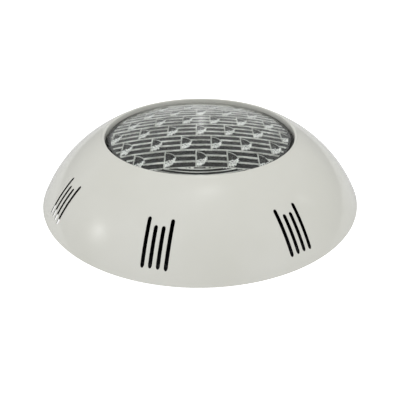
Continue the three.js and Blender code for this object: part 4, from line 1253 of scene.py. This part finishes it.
def camera():
    data = bpy.data.cameras.new("camera")
    data.sensor_width = SENSOR
    data.lens = SENSOR * FOCAL_WIDTHS
    data.clip_start, data.clip_end = 0.01, 50
    obj = placed("camera", data)
    tilt = Matrix.Rotation(math.pi / 2 - CAMERA_DOWN, 4, "X")
    roll = Matrix.Rotation(CAMERA_ROLL, 4, "Z")
    obj.matrix_world = Matrix.Translation(CAMERA_AT) @ tilt @ roll
    bpy.context.scene.camera = obj


def fade_group():
    """A glow that is full in the middle of a card and fades out towards its edges."""
    group, into, out = node_group(
        "card_fade",
        [("Half Size", "NodeSocketVector", (1, 1, 1))],
        [("Colour", "NodeSocketColor"), ("Mask", "NodeSocketFloat")],
    )
    link = group.links.new
    place = add(group, "ShaderNodeTexCoord")
    scale = add(group, "ShaderNodeVectorMath", operation="DIVIDE")
    fade = add(group, "ShaderNodeTexGradient", gradient_type="QUADRATIC_SPHERE")
    link(place.outputs["Object"], scale.inputs[0])
    link(into.outputs["Half Size"], scale.inputs[1])
    link(scale.outputs["Vector"], fade.inputs["Vector"])
    link(fade.outputs["Color"], out.inputs["Colour"])
    link(fade.outputs["Fac"], out.inputs["Mask"])
    return group


CARD_FADE = fade_group()


def soft_card(name, at, target, size, strength):
    """A glowing card that fades towards its edges, hidden from the camera."""
    x, y = size[0] / 2, size[1] / 2
    card = mesh_object(name, [(-x, -y, 0), (x, -y, 0), (x, y, 0), (-x, y, 0)], [(0, 1, 2, 3)])
    material = bpy.data.materials.new(name + "_glow")
    material.use_nodes = True
    tree = material.node_tree
    principled = tree.nodes["Principled BSDF"]
    principled.inputs["Base Color"].default_value = (0, 0, 0, 1)
    principled.inputs["Emission Strength"].default_value = strength
    fade = add(tree, "ShaderNodeGroup", node_tree=CARD_FADE)
    fade.inputs["Half Size"].default_value = (x, y, 1)
    tree.links.new(fade.outputs["Colour"], principled.inputs["Emission Color"])
    tree.links.new(fade.outputs["Mask"], principled.inputs["Alpha"])
    card.data.materials.append(material)
    card.location = at
    card.rotation_euler = (Vector(target) - Vector(at)).to_track_quat("Z", "Y").to_euler()
    card.visible_camera = False
    card.visible_shadow = False


def pale_floor():
    """A white floor that looks evenly lit to the camera."""
    material = plastic(
        "pale_floor", (0.6, 0.6, 0.6), (0.58, 0.58, 0.58), rough=(0.6, 0.7), bump=0.0, drift_scale=3
    )
    tree = material.node_tree
    seen = add(tree, "ShaderNodeLightPath")
    principled = tree.nodes["Principled BSDF"]
    tree.links.new(seen.outputs["Is Camera Ray"], principled.inputs["Emission Color"])
    principled.inputs["Emission Strength"].default_value = 1.0
    h = FLOOR_HALF
    floor = mesh_object("floor", [(-h, -h, 0), (h, -h, 0), (h, h, 0), (-h, h, 0)], [(0, 1, 2, 3)])
    floor.location.z = -FLOOR_DROP
    floor.data.materials.append(material)


def even_world():
    """White light from all round, dimmer where a gloss reflection sees it."""
    world = bpy.data.worlds.new("studio")
    world.use_nodes = True
    tree = world.node_tree
    path = add(tree, "ShaderNodeLightPath")
    strength = add(tree, "ShaderNodeMapRange")
    strength.inputs["To Min"].default_value = WORLD_LIGHT
    strength.inputs["To Max"].default_value = WORLD_IN_GLOSS
    direct = add(tree, "ShaderNodeMath", operation="SUBTRACT", use_clamp=True)
    tree.links.new(path.outputs["Is Glossy Ray"], direct.inputs[0])
    tree.links.new(path.outputs["Is Transmission Ray"], direct.inputs[1])
    tree.links.new(direct.outputs["Value"], strength.inputs["Value"])
    tree.links.new(strength.outputs["Result"], tree.nodes["Background"].inputs["Strength"])
    tree.nodes["Background"].inputs["Color"].default_value = (1, 1, 1, 1)
    bpy.context.scene.world = world


def studio():
    even_world()
    for name, card in SOFT_CARDS.items():
        soft_card(name, *card)
    pale_floor()
    bpy.context.scene.view_settings.view_transform = "Standard"
    bpy.context.scene.view_settings.look = "None"


# ---------- put together ----------
camera()
studio()
finish_piece(cover_shell(), "front_cover", GLOSS_WHITE, ["front_cover"])
for number, heading in enumerate(around(BLADES, SLOT_PHASE + TURN / 2 / SLOT_GROUPS), 1):
    cover_blade(number, heading)
    cover_clip(number, heading)
finish_piece(front_lens(), ROOT, CLEAR, ["front_lens"])
finish_piece(clamp_ring(), ROOT, BLACK_SATIN, ["clamp_ring"])
gasket = washer("lens_gasket_cut", "lens_gasket", DOME_FOOT_RADIUS)
finish_piece(gasket, ROOT, RUBBER, ["lens_gasket"])
for shell_piece in lamp_bowl():
    finish_piece(shell_piece, ROOT, BLACK_MATT, ["lamp_bowl"])
for plate_piece in wall_plate():
    finish_piece(plate_piece, ROOT, PLATE_DARK, ["wall_plate"])
all_screws()
gland()
optic_plate()

NODE_FINISH = {  # nodes kept from the CAD
    "led_board": BOARD_BLACK,
    "heat_spreader": ALUMINIUM,
    "board_pillar": ALUMINIUM,
    "driver_board": BOARD_GREEN,
    "capacitor": CAN_BLUE,
    "choke": COPPER,
    "rectifier": COMPONENT,
    "terminal_block": COMPONENT,
    "lead_red": SLEEVE_RED,
    "lead_black": SLEEVE_BLACK,
}


def finish_node(name, node):
    """Give a kept node its finish and eased edges."""
    base = name.rsplit("_", 1)[0] if name[-1].isdigit() else name
    material = NODE_FINISH.get(base, STEEL)
    if not node.data.materials:
        node.data.materials.append(material)
    for k in range(len(node.data.materials)):
        node.data.materials[k] = material
    ease = node.modifiers.new("ease", "BEVEL")
    ease.width = 0.15 * MM
    ease.segments = 2
    ease.limit_method = "ANGLE"
    ease.angle_limit = math.radians(50)


for node_name, kept_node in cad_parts.items():
    finish_node(node_name, kept_node)
